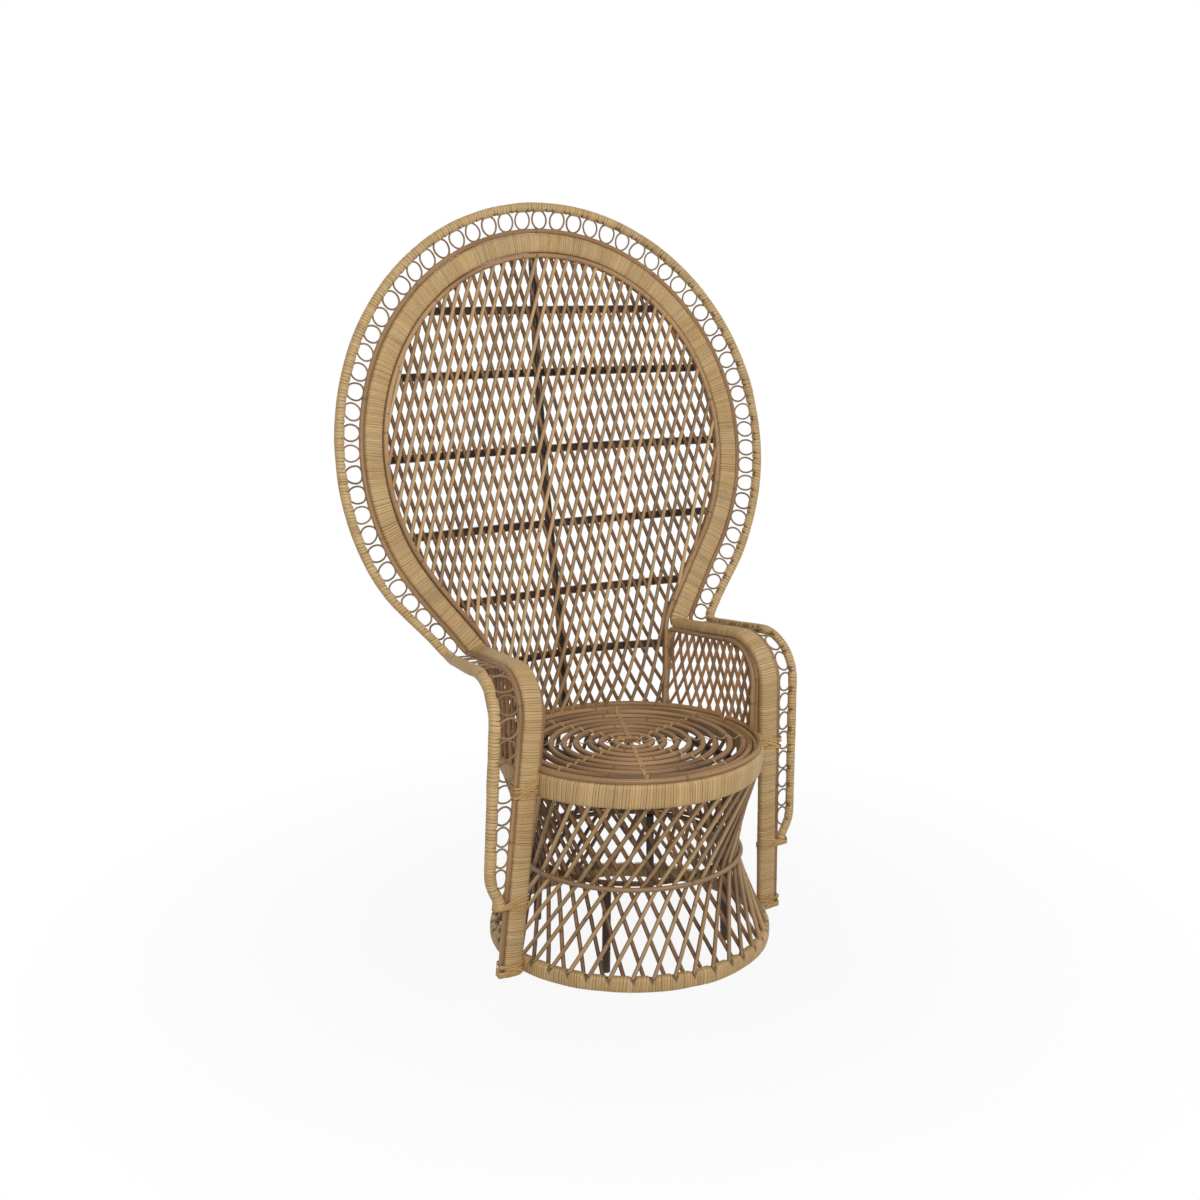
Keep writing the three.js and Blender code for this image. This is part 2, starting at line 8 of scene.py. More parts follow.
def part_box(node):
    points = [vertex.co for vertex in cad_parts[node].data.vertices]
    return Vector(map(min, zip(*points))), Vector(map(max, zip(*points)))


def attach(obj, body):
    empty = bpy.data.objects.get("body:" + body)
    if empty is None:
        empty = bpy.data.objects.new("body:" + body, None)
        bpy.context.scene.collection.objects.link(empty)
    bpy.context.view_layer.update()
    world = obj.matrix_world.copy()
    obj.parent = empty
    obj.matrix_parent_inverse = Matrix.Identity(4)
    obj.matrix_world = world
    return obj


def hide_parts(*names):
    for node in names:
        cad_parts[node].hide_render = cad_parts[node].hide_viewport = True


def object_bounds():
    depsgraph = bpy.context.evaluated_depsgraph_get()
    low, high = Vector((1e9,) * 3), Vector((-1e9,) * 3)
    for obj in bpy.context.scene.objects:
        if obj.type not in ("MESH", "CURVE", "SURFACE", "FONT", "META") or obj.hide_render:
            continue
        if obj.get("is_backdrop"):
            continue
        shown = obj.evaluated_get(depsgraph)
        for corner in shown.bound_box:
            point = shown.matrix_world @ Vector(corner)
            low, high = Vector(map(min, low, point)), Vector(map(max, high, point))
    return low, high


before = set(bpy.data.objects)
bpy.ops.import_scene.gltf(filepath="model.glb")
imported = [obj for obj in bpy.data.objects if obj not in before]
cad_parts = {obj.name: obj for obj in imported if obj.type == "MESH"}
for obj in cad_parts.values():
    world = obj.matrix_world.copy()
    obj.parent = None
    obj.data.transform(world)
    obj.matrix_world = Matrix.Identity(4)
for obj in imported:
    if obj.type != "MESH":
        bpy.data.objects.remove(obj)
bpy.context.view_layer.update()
scene = bpy.context.scene
dice = np.random.default_rng(27)
baseLow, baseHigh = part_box("base_ring")
drumY = (baseLow.y + baseHigh.y) / 2  # lengths below are millimetres from the drum's axis on the floor
mm = 0.001
degree = math.pi / 180
print("frame loaded,", len(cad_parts), "nodes")


# lines are rows of place (3) and outward direction (3)
def unit(rows):
    return rows / np.linalg.norm(rows, axis=-1, keepdims=True)


def lengths(line):
    steps = np.linalg.norm(np.diff(line[:, :3], axis=0), axis=1)
    return np.concatenate([[0], np.cumsum(steps)])


def at(line, s):
    run = lengths(line)
    return np.stack([np.interp(s, run, column) for column in line.T], axis=1)


def squared(out, along):
    return unit(out - along * (out * along).sum(1, keepdims=True))


def directions(line, s, reach=1.5):
    here = at(line, s)
    along = unit(at(line, s + reach)[:, :3] - at(line, s - reach)[:, :3])
    out = squared(here[:, 3:], along)
    return here[:, :3], along, out, np.cross(out, along)


def straight(start, end, step=3.0):
    start, end = np.array(start, float), np.array(end, float)
    count = max(2, int(np.linalg.norm(end - start) / step) + 1)
    return start + (end - start) * np.linspace(0, 1, count)[:, None]


def softCorner(points, corner, reach, step=1.5, fewest=8):
    # an arc in place of the points nearer to a corner than the reach
    run = lengths(points)
    middle = run[np.argmin(np.linalg.norm(points - corner, axis=1))]
    ends = at(points, np.array([middle - reach, middle + reach]))
    toStart, toEnd = unit(ends[0] - corner), unit(ends[1] - corner)
    weight = math.sin(math.acos(np.clip(toStart @ toEnd, -1, 1)) / 2)
    t = np.linspace(0, 1, max(fewest, int(reach / step)))[:, None]
    shares = (1 - t) ** 2, 2 * weight * t * (1 - t), t**2
    arc = (shares[0] * ends[0] + shares[1] * corner + shares[2] * ends[1]) / sum(shares)
    return np.concatenate([points[run < middle - reach], arc, points[run > middle + reach]])


def eased(points, turns=3, reach=2):
    # the same line with its small kinks smoothed out
    points = points.copy()
    for _ in range(turns):
        points[reach:-reach] = (points[: -2 * reach] + 2 * points[reach:-reach] + points[2 * reach :]) / 4
    return points


def withOut(points, out):
    return np.hstack([points, np.broadcast_to(out, points.shape)])


def mirrored(line):
    return line * np.array([-1, 1, 1, -1, 1, 1])


def drift(s, spacing, amount):
    # a slow random change along a line
    knots = np.arange(s.min() - spacing, s.max() + 2 * spacing, spacing)
    return np.interp(s, knots, dice.normal(0, amount, len(knots)))


def ringLine(radius, z, over=0.1, count=721):
    # a level ring that overlaps itself a little, and where its full turn starts and ends
    angle = np.linspace(-over, math.tau + over, count)
    points = np.c_[radius * np.cos(angle), radius * np.sin(angle), np.full(count, float(z))]
    run = lengths(points)
    return withOut(points, (0, 0, 1)), np.interp(0, angle, run), np.interp(math.tau, angle, run)


def rodRing(radius, z, first=0, last=0, count=400):
    # a ring of rod whose two ends lie so much further on than the full turn's start and end
    line, start, end = ringLine(radius, z)
    return at(line, np.linspace(start + first, end + last, count))


# the back's left neck stands a little nearer the middle than the right one
neckLean = dict(shift=16, height=600, tall=90, outside=60, full=200, behind=20, depth=150)


def leaned(place):
    x, y, z = place[..., 0], place[..., 1], place[..., 2]
    near = np.exp(-(((z - neckLean["height"]) / neckLean["tall"]) ** 2))
    aside = np.clip((-x - neckLean["outside"]) / (neckLean["full"] - neckLean["outside"]), 0, 1)
    behind = np.clip((y - neckLean["behind"]) / neckLean["depth"], 0, 1)
    shift = neckLean["shift"] * near * aside * behind
    return np.stack([x + shift, y, z], axis=-1)


# a skin is a grid laid round a line; tone holds its shade, its dark lines and its warmth;
# the dark lines are the canes' joints and painted shade in grooves, nicks and on the sides
def skin(bm, rings, run, tone):
    rings = np.hstack([rings, rings[:, :1]])
    tone = np.hstack([tone, tone[:, :1]])
    rows, columns = rings.shape[:2]
    sheet = bmesh.new()
    bmesh.ops.create_grid(sheet, x_segments=columns - 1, y_segments=rows - 1, size=1)
    mesh = bpy.data.meshes.new("strand")
    sheet.to_mesh(mesh)
    sheet.free()
    place = leaned(rings) * mm
    place[..., 1] += drumY
    place[..., 2] = np.maximum(place[..., 2], 0)
    mesh.vertices.foreach_set("co", place.ravel())
    girth = lengths(rings[rows // 2])
    uv = np.stack(np.broadcast_arrays(run[:, None], girth), axis=2).reshape(-1, 2) * mm
    corner = np.empty(len(mesh.loops), int)
    mesh.loops.foreach_get("vertex_index", corner)
    mesh.uv_layers.new(name="run").uv.foreach_set("vector", uv[corner].ravel())
    shade = np.concatenate([tone, np.ones(tone.shape[:2] + (1,))], axis=2)
    mesh.attributes.new("tone", "FLOAT_COLOR", "POINT").data.foreach_set("color", shade.ravel())
    bm.from_mesh(mesh)
    bpy.data.meshes.remove(mesh)


def ovalSection(sides, power):
    turn = math.tau * np.arange(sides) / sides
    c, s = np.cos(turn), np.sin(turn)
    return np.c_[np.sign(c) * abs(c) ** (2 / power), np.sign(s) * abs(s) ** (2 / power)]


def laid(line, s, shape, through, across, slant=0.0):
    # rings of a section at the places s, half through (under) and half across (out) given for each
    middle, along, out, under = directions(line, s)
    a = shape[None, :, 0] * np.broadcast_to(through, s.shape)[:, None]
    b = shape[None, :, 1] * np.broadcast_to(across, s.shape)[:, None]
    c = b * np.broadcast_to(slant, s.shape)[:, None]
    return (
        middle[:, None]
        + under[:, None] * a[..., None]
        + out[:, None] * b[..., None]
        + along[:, None] * c[..., None]
    )


def finishPiece(bm, name, look, slotName, *nodes):
    bmesh.ops.remove_doubles(bm, verts=bm.verts, dist=1e-6)
    rims = [edge for edge in bm.edges if edge.is_boundary]
    caps = bmesh.ops.holes_fill(bm, edges=rims, sides=0)["faces"] if rims else []
    bmesh.ops.recalc_face_normals(bm, faces=bm.faces)
    for face in bm.faces:
        face.smooth = True
    for cap in caps:
        cap.smooth = False
        for edge in cap.edges:
            edge.smooth = False
    mesh = bpy.data.meshes.new(name)
    bm.to_mesh(mesh)
    bm.free()
    mesh.materials.append(look)
    piece = bpy.data.objects.new(name, mesh)
    scene.collection.objects.link(piece)
    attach(piece, "root")
    if nodes:
        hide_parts(*nodes)
    print(name, len(mesh.polygons), "faces")


# strips of peel: edges are shares of a strip, broadReach, skewEvery and swellEvery are millimetres
peel = dict(
    widths=(0.72, 1.28), broader=1.3, broadReach=20, edges=(0, 0.18, 0.84), cutSpread=0.4, gaping=0.07,
    gape=2.2, patches=(2, 8), warmPatch=0.12, warmFleck=0.1, skewEvery=70, swellEvery=45, rises=(0.3, 1.2),
    grooveTone=0.7, nickDepth=0.24, nickTone=1.5,
)


def wrapped(
    name, nodes, line, start, end, wrap, closed=False, nicks=(), nickSide=-1, broad=(), thicker=((0, 0),)
):
    # a core wound with strips of peel: each strip rises a little to its far edge, with a groove between;
    # some places have broad strips, and nicks are gaps on the inner (-1) or outer (1) side;
    # the grooves and nicks are darkened with painted shade;
    # thicker tells how much is added to its half thickness at which places
    count = max(3, round((end - start) / wrap["strip"]))
    wide = dice.uniform(*peel["widths"], count)
    about = start + (np.arange(count) + 0.5) * (end - start) / count
    for place in broad:
        wide = wide * (1 + peel["broader"] * np.exp(-(((about - place) / peel["broadReach"]) ** 2)))
    edges = start + (end - start) * np.concatenate([[0], np.cumsum(wide) / wide.sum()])
    spread = edges[:-1, None] + np.diff(edges)[:, None] * np.array(peel["edges"])
    s = np.append(spread.ravel(), edges[-1])
    cut = dice.lognormal(0, peel["cutSpread"], count + 1)
    cut = cut * np.where(dice.random(count + 1) < peel["gaping"], peel["gape"], 1)
    patch = np.repeat(dice.normal(0, 1, count), dice.integers(*peel["patches"], count))[:count]
    shade = np.clip(wrap["shade"] + wrap["patch"] * patch + wrap["fleck"] * dice.normal(0, 1, count), 0, 1)
    warm = 0.5 + peel["warmPatch"] * patch[::-1] + peel["warmFleck"] * dice.normal(0, 1, count)
    slant = wrap["slant"] + drift(s, peel["skewEvery"], wrap["skew"])
    swell = drift(s, peel["swellEvery"], wrap["uneven"]) + np.interp(s, *np.array(thicker, float).T)
    if closed:
        cut[-1], slant[-1], swell[-1] = cut[0], slant[0], swell[0]
    depth = np.zeros(len(s))
    depth[::3] = wrap["groove"] * cut
    depth[2::3] = -wrap["rise"] * dice.uniform(*peel["rises"], count)
    shape = ovalSection(wrap["sides"], wrap["power"])
    half = np.array(wrap["size"]) / 2
    rings = laid(line, s, shape, half[0] - depth + swell, half[1] - depth + swell, slant)
    tone = np.zeros(rings.shape)
    tone[:-1, :, 0] = np.repeat(shade, 3)[:, None]
    tone[:-1, :, 2] = np.repeat(np.clip(warm, 0, 1), 3)[:, None]
    tone[:-1:3, :, 0] = ((shade + np.roll(shade, 1)) / 2)[:, None]
    tone[-1] = tone[0]
    # painted shade: the grooves between strips are darker
    tone[::3, :, 1] = np.clip(peel["grooveTone"] * cut, 0, 1)[:, None]
    for place in nicks:
        wide = wrap["nickRings"]
        ring = 3 * int(np.argmin(abs(edges - place)))
        for near in range(max(1, ring - wide), min(len(s) - 1, ring + wide + 1)):
            share = 1 - abs(near - ring) / (wide + 1)
            nicked = nickSide * shape[:, 1] > 1 - (1 - wrap["nickFrom"]) * share
            middle = rings[near].mean(0)
            rings[near, nicked] += (middle - rings[near, nicked]) * peel["nickDepth"] * share
            # painted shade: the nick's gap is darkened
            tone[near, nicked, 1] = min(1, peel["nickTone"] * share)
    bm = bmesh.new()
    skin(bm, rings, s - start, tone)
    finishPiece(bm, name, peelWrap, "wrapped_peel", *nodes)


# canes and rods: jointRings, firstRun and each reach, room, end or every in millimetres, the rest shares
grown = dict(
    firstJoint=(0.1, 1), jointShift=0.15, jointEnd=15, jointRoom=12, taper=0.03,
    jointRings=(-4.5, -1.2, 0, 1.2, 4.5), swell=0.06, swellReach=4, darkReach=1.3, dark=0.7, tightEnd=40,
    wanderEvery=120, patchEvery=90, warmEvery=140, warmPatch=0.08, warmSpread=0.24, ringWarmth=(0.2, 0.8),
    ringSides=8, firstRun=3000,
)


def strand(
    bm, line, size, sides=8, step=10.0, joints=0.0, power=2.0, wander=0.0, shade=0.5, spread=0.24,
    patchy=0.08, dirt=0.45,
):
    # one cane or rod: joints swell a little and are darker, the line wanders, and painted shade darkens its
    # two sides
    whole = lengths(line)[-1]
    s = np.linspace(0, whole, max(3, int(whole / step) + 2))
    knots = np.zeros(0)
    if joints:
        shift, room = grown["jointShift"], grown["jointRoom"]
        knots = np.arange(dice.uniform(*grown["firstJoint"]) * joints, whole - grown["jointEnd"], joints)
        knots = knots + dice.uniform(-shift, shift, len(knots)) * joints
        knots = knots[(knots > room) & (knots < whole - room)]
        s = np.concatenate([s] + [knots + apart for apart in grown["jointRings"]])
    s = np.unique(np.round(s, 3))
    near = np.min(abs(s[:, None] - knots), axis=1, initial=np.inf)
    swell = 1 + grown["taper"] * dice.normal() * (s / whole - 0.5)
    swell = swell + grown["swell"] * np.clip(1 - near / grown["swellReach"], 0, 1)
    half = np.broadcast_to(size, 2) / 2
    shape = ovalSection(sides, power)
    rings = laid(line, s, shape, half[0] * swell, half[1] * swell)
    if wander:
        under = directions(line, s)[3]
        loose = np.clip(np.minimum(s, whole - s) / grown["tightEnd"], 0, 1)
        sway = drift(s, grown["wanderEvery"], wander) * loose
        rings = rings + (under * sway[:, None])[:, None]
    dark = np.where(near < grown["darkReach"], grown["dark"], 0)[:, None]
    tone = np.zeros(rings.shape)
    tone[..., 0] = np.clip(dice.normal(shade, spread) + drift(s, grown["patchEvery"], patchy), 0, 1)[:, None]
    # painted shade: the section's two sides, across from out, are darker as if in shadow
    tone[..., 1] = np.maximum(dark, dirt * (1 - abs(shape[:, 1])) ** 2)
    warm = dice.normal(0.5, grown["warmSpread"]) + drift(s, grown["warmEvery"], grown["warmPatch"])
    tone[..., 2] = np.clip(warm, 0, 1)[:, None]
    skin(bm, rings, s + dice.uniform(0, grown["firstRun"]), tone)


def closedStrand(bm, points, out, size, shade):
    # a ring of cane or peel through the points given
    along = unit(np.roll(points, -1, 0) - np.roll(points, 1, 0))
    out = squared(out, along)
    under = np.cross(out, along)
    shape = ovalSection(grown["ringSides"], 2) * np.array(size) / 2
    rings = points[:, None] + under[:, None] * shape[None, :, :1] + out[:, None] * shape[None, :, 1:]
    rings = np.concatenate([rings, rings[:1]])
    tone = np.full(rings.shape, dice.uniform(*grown["ringWarmth"]))
    tone[..., 0], tone[..., 1] = shade, 0
    run = lengths(np.concatenate([points, points[:1]])) + dice.uniform(0, grown["firstRun"])
    skin(bm, rings, run, tone)


def rodPiece(name, look, slotName, nodes, line, size, **ways):
    # a piece that is one rod
    bm = bmesh.new()
    strand(bm, line, size, **ways)
    finishPiece(bm, name, look, slotName, *nodes)


def srgb(r, g, b):
    return tuple(((c / 255 + 0.055) / 1.055) ** 2.4 if c > 10 else c / 3294.6 for c in (r, g, b)) + (1.0,)


def newGroup(name, inputs, outputs):
    group = bpy.data.node_groups.new(name, "ShaderNodeTree")
    for side, sockets in (("INPUT", inputs), ("OUTPUT", outputs)):
        for label, kind in sockets.items():
            group.interface.new_socket(name=label, in_out=side, socket_type="NodeSocket" + kind)
    return group, group.nodes.new("NodeGroupInput").outputs, group.nodes.new("NodeGroupOutput").inputs


def newMaterial(name):
    material = bpy.data.materials.new(name)
    material.use_nodes = True
    return material, material.node_tree, material.node_tree.nodes["Principled BSDF"]


def addNode(tree, kind, inputs=(), **settings):
    # constants go straight on their sockets, other values are linked to them
    node = tree.nodes.new("ShaderNode" + kind)
    for label, value in settings.items():
        setattr(node, label, value)
    for label, value in dict(inputs).items():
        if isinstance(value, (int, float, tuple)):
            node.inputs[label].default_value = value
        else:
            tree.links.new(value, node.inputs[label])
    return node


def mathNode(tree, operation, first, second, clamp=False):
    return addNode(tree, "Math", {0: first, 1: second}, operation=operation, use_clamp=clamp).outputs[0]


def mixColour(tree, share, first, second, blend="MIX"):
    inputs = {0: share, 6: first, 7: second}
    return addNode(tree, "Mix", inputs, data_type="RGBA", blend_type=blend, clamp_factor=True).outputs[2]


def noiseNode(tree, vector, scale, detail, roughness=0.6):
    inputs = {"Vector": vector, "Scale": scale, "Detail": detail, "Roughness": roughness}
    return addNode(tree, "TexNoise", inputs).outputs["Fac"]


# fibre lines that follow the strip or cane, from its own UV
fibre, given, made = newGroup(
    "fibreLines", {"UV": "Vector", "Stretch": "Vector"}, {"Streak": "Float", "Patch": "Float"}
)
factors = {0: given["UV"], 1: given["Stretch"]}
stretched = addNode(fibre, "VectorMath", factors, operation="MULTIPLY").outputs[0]
fibre.links.new(noiseNode(fibre, stretched, scale=1.0, detail=4.0, roughness=0.65), made["Streak"])
fibre.links.new(noiseNode(fibre, stretched, scale=0.13, detail=2.0), made["Patch"])

# a rattan colour out of a pale and a deep one, its own shade and warmth, fibres and dark lines
weights = dict(start=1.25, streak=0.9, patch=0.9, warmth=0.55)
colours, numbers = ("Pale", "Deep", "Warm", "Line"), ("Shade", "Warmth", "Streak", "Patch", "Dark")
sockets = {**dict.fromkeys(colours, "Color"), **dict.fromkeys(numbers, "Float")}
toned, given, made = newGroup("rattanTone", sockets, {"Color": "Color"})
depth = mathNode(toned, "SUBTRACT", weights["start"], given["Shade"])
depth = mathNode(toned, "SUBTRACT", depth, mathNode(toned, "MULTIPLY", given["Streak"], weights["streak"]))
patch = mathNode(toned, "SUBTRACT", given["Patch"], 0.5)
patch = mathNode(toned, "MULTIPLY", patch, weights["patch"])
depth = mathNode(toned, "ADD", depth, patch, clamp=True)
body = mixColour(toned, depth, given["Pale"], given["Deep"])
warmth = mathNode(toned, "MULTIPLY", given["Warmth"], weights["warmth"])
body = mixColour(toned, warmth, body, given["Warm"], "MULTIPLY")
body = mixColour(toned, given["Dark"], body, given["Line"])
toned.links.new(body, made["Color"])

# brown stains and small dark specks
specks = dict(detail=5, roughness=0.7, least=0.62, steep=9)
stain, given, made = newGroup("stains", {"Place": "Vector", "Size": "Float"}, {"Mask": "Float"})
mask = noiseNode(stain, given["Place"], given["Size"], specks["detail"], specks["roughness"])
mask = mathNode(stain, "SUBTRACT", mask, specks["least"])
stain.links.new(mathNode(stain, "MULTIPLY", mask, specks["steep"], clamp=True), made["Mask"])

plainFinish = dict(
    stretch=(20, 900, 1), spotSize=30, spots=0.35, lineStrength=0.75, rough=0.5, roughFibre=0.22, gloss=0.4,
    bump=0.4, bumpHeight=0.0006,
)


def rattanFinish(name, **own):
    look = {**plainFinish, **own}
    material, tree, surface = newMaterial(name)
    tone = addNode(tree, "Attribute", attribute_name="tone").outputs["Color"]
    shade, dark, warmth = addNode(tree, "SeparateColor", {0: tone}).outputs
    uv = addNode(tree, "UVMap", uv_map="run").outputs["UV"]
    place = addNode(tree, "TexCoord").outputs["Object"]
    lines = addNode(tree, "Group", {"UV": uv, "Stretch": look["stretch"]}, node_tree=fibre).outputs
    spots = addNode(tree, "Group", {"Place": place, "Size": look["spotSize"]}, node_tree=stain).outputs
    # dark holds the canes' joints and the painted shade of grooves, nicks and the sides of canes
    dark = mathNode(tree, "MULTIPLY", dark, look["lineStrength"])
    spots = mathNode(tree, "MULTIPLY", spots["Mask"], look["spots"])
    mixed = {label: srgb(*look[label.lower()]) for label in colours}
    mixed.update({"Shade": shade, "Warmth": warmth, "Streak": lines["Streak"], "Patch": lines["Patch"]})
    mixed["Dark"] = mathNode(tree, "MAXIMUM", dark, spots)
    colour = addNode(tree, "Group", mixed, node_tree=toned).outputs["Color"]
    tree.links.new(colour, surface.inputs["Base Color"])
    rough = mathNode(tree, "MULTIPLY", lines["Streak"], -look["roughFibre"])
    rough = mathNode(tree, "ADD", rough, look["rough"] + look["roughFibre"] / 2, clamp=True)
    tree.links.new(rough, surface.inputs["Roughness"])
    surface.inputs["Specular IOR Level"].default_value = look["gloss"]
    bump = {"Strength": look["bump"], "Distance": look["bumpHeight"], "Height": lines["Streak"]}
    tree.links.new(addNode(tree, "Bump", bump).outputs["Normal"], surface.inputs["Normal"])
    return material


peelWrap = rattanFinish(
    "peelWrap", pale=(201, 174, 128), deep=(146, 116, 72), warm=(255, 228, 182), line=(70, 48, 26),
    stretch=(900, 45, 1), spotSize=38, lineStrength=0.85, bump=0.35,
)
tiePeel = rattanFinish(
    "tiePeel", pale=(200, 168, 114), deep=(140, 106, 62), warm=(255, 220, 160), line=(72, 48, 25),
    stretch=(40, 1500, 1), spotSize=60, spots=0.3, lineStrength=0.8, rough=0.48, gloss=0.42, bump=0.3,
)
caneSkin = rattanFinish(
    "caneSkin", pale=(190, 163, 122), deep=(98, 73, 47), warm=(255, 222, 178), line=(52, 35, 21),
)
# a redder and darker cane: partly the rear canes' own colour, partly painted shade for the shaded inside of
# the drum and the back's rear layer
shadedBackCaneSkin = rattanFinish(
    "shadedBackCaneSkin", pale=(150, 116, 79), deep=(72, 49, 30), warm=(255, 214, 168), line=(48, 32, 20),
)
panelSkin = rattanFinish(
    "panelSkin", pale=(192, 154, 110), deep=(116, 83, 51), warm=(255, 212, 162), line=(52, 34, 20),
    spotSize=34,
)
coilSkin = rattanFinish(
    "coilSkin", pale=(180, 147, 106), deep=(78, 55, 34), warm=(255, 216, 168), line=(52, 35, 21),
    stretch=(14, 800, 1), spotSize=22, spots=0.5, gloss=0.42, bump=0.45,
)
rodBark = rattanFinish(
    "rodBark", pale=(180, 151, 113), deep=(106, 77, 49), warm=(255, 214, 168), line=(58, 38, 22),
    stretch=(16, 800, 1), spotSize=26, spots=0.4, gloss=0.42,
)
loopCaneSkin = rattanFinish(
    "loopCaneSkin", pale=(154, 130, 99), deep=(86, 66, 47), warm=(255, 220, 180), line=(52, 36, 22),
    stretch=(30, 1300, 1), spotSize=50, spots=0.4, lineStrength=0.7, bump=0.35,
)
darkRodSkin = rattanFinish(
    "darkRodSkin", pale=(70, 48, 33), deep=(30, 19, 13), warm=(255, 220, 190), line=(16, 11, 8),
    stretch=(24, 700, 1), spots=0.5, lineStrength=0.8, rough=0.45, gloss=0.45,
)

iron = dict(
    dark=(40, 30, 24), light=(78, 60, 46), grain=420, detail=3, rough=0.35, roughGrain=0.3, metal=0.6,
)
nailIron, tree, surface = newMaterial("nailIron")
grain = noiseNode(tree, addNode(tree, "TexCoord").outputs["Object"], iron["grain"], iron["detail"])
colour = mixColour(tree, grain, srgb(*iron["dark"]), srgb(*iron["light"]))
tree.links.new(colour, surface.inputs["Base Color"])
rough = mathNode(tree, "MULTIPLY", grain, iron["roughGrain"])
tree.links.new(mathNode(tree, "ADD", rough, iron["rough"]), surface.inputs["Roughness"])
surface.inputs["Metallic"].default_value = iron["metal"]
print("finishes made")

# the chair's main measures, as the solids have them
seatTop, rimRadius, rimThick, rimHeight, rimTaper, rimRod = 414.5, 274, 22, 50, 4, 11
baseRadius, gap, legRoom, bandWidth, bandThick = 293.5, 0.3, 2.2, 40, 20
ovalHeight, shoulder, sweepTop, footHalf = 988, 33 * degree, 760, 207
backFoot, backLean, backBend, backDish = 188.4, 0.27, 9e-5, 0.00018
neckHeight, neckHalf, neckTop = 590, 265, 602.25
cornerHeight, cornerY, cornerRadius, footY = 621, -102, 88, -60
rimBottom = seatTop - rimHeight
backMiddle = rimRadius - rimThick / 2
footReach = math.sqrt((rimRadius + rimRod / 2) ** 2 - footHalf**2)
footDish = (backMiddle - footReach) / footHalf**2 - backDish


def backY(x, z):
    rise = z - seatTop
    low = (np.maximum(0, sweepTop - z) / (sweepTop - seatTop)) ** 3
    lean = backFoot + backLean * rise - backBend * rise**2
    return lean + (backMiddle - backFoot) * low - (backDish + footDish * low) * x**2


def backNormal(x, z):
    slopeX = (backY(x + 1, z) - backY(x - 1, z)) / 2
    slopeZ = (backY(x, z + 1) - backY(x, z - 1)) / 2
    return unit(np.stack([-slopeX, np.ones_like(slopeX), -slopeZ], axis=-1))


def backLine(x, z, off=0.0):
    # places on the back or so far behind it, with its normals
    x, z = np.broadcast_arrays(np.asarray(x, float), np.asarray(z, float))
    normal = backNormal(x, z)
    return np.hstack([np.stack([x, backY(x, z), z], axis=-1) + normal * off, normal])


neckY = float(backY(neckHalf, neckHeight))
armSlope = (cornerHeight - neckHeight) / (neckY - cornerY)


def legY(z):
    return footY + (cornerY - footY) * z / cornerHeight


def besideRing(radius, z):
    reach = math.sqrt(radius**2 - (legY(z) + bandThick / 2) ** 2)
    return reach + legRoom + bandWidth / 2


footX = besideRing(baseRadius, 0)
legLean = (besideRing(rimRadius, seatTop) - footX) / seatTop


def legAt(z, out=0.0):
    return np.array([footX + legLean * z + out, legY(z), z], float)


upLeg = unit(legAt(100) - legAt(0))


def armHeight(y):
    return neckHeight + armSlope * (neckY - y)


def ovalSide(radius, z):
    # half the outline's width on its straight part under the shoulder
    top = ovalHeight - radius * math.sin(shoulder)
    return radius * math.cos(shoulder) - (top - z) * math.tan(shoulder)


# a line's neck lies between the oval's side and the arm's, and its section turns there to the back's
neckBlend = dict(oval=0.8, arm=0.2, turn=40, step=3.0, neckSteps=90, ovalSteps=260)


def chairLine(radius, out, foot, reach, inset=0.0):
    # from one foot up the leg, back along the arm, up the neck, over the oval and down to the other foot;
    # reach is how far from the neck its bend starts, inset how much nearer the middle the neck lies
    corner = legAt(cornerHeight, out)
    ovalX, armX = ovalSide(radius, neckHeight), neckHalf + out
    neckX = neckBlend["oval"] * ovalX + neckBlend["arm"] * armX - inset
    back = float(backY(neckX, neckHeight))
    neck = np.array([neckX, back, armHeight(back)])
    shoulderX = radius * math.cos(shoulder)
    shoulderZ = ovalHeight - radius * math.sin(shoulder)
    rise = np.linspace(0, 1, neckBlend["neckSteps"])[1:]
    upNeck = backLine(neckX + (shoulderX - neckX) * rise, neck[2] + (shoulderZ - neck[2]) * rise)
    angle = np.linspace(-shoulder, math.pi / 2, neckBlend["ovalSteps"])[1:]
    over = backLine(radius * np.cos(angle), ovalHeight + radius * np.sin(angle))
    legPart = np.concatenate([foot, straight(foot[-1], corner)[1:]])
    points = np.concatenate([legPart, straight(corner, neck)[1:], upNeck[:, :3], over[:, :3]])
    down, inward = unit(foot[-1] - corner), unit(neck - corner)
    half = math.acos(down @ inward) / 2
    points = softCorner(points, corner, cornerRadius / math.tan(half))
    points = softCorner(points, neck, reach)
    points = eased(at(points, np.arange(0, lengths(points)[-1], neckBlend["step"])))
    run = lengths(points)
    neckRun = float(run[np.argmin(np.linalg.norm(points - neck, axis=1))])
    share = np.clip((run - neckRun + neckBlend["turn"]) / (2 * neckBlend["turn"]), 0, 1)
    share = (share**2 * (3 - 2 * share))[:, None]
    aside = np.cross(backNormal(points[:, 0], points[:, 2]), unit(np.gradient(points, axis=0)))
    outward = unit((1 - share) * np.array([1.0, 0, 0]) + share * aside)
    rightHalf = np.hstack([points, outward])
    return np.concatenate([mirrored(rightHalf), rightHalf[::-1][1:]]), neckRun


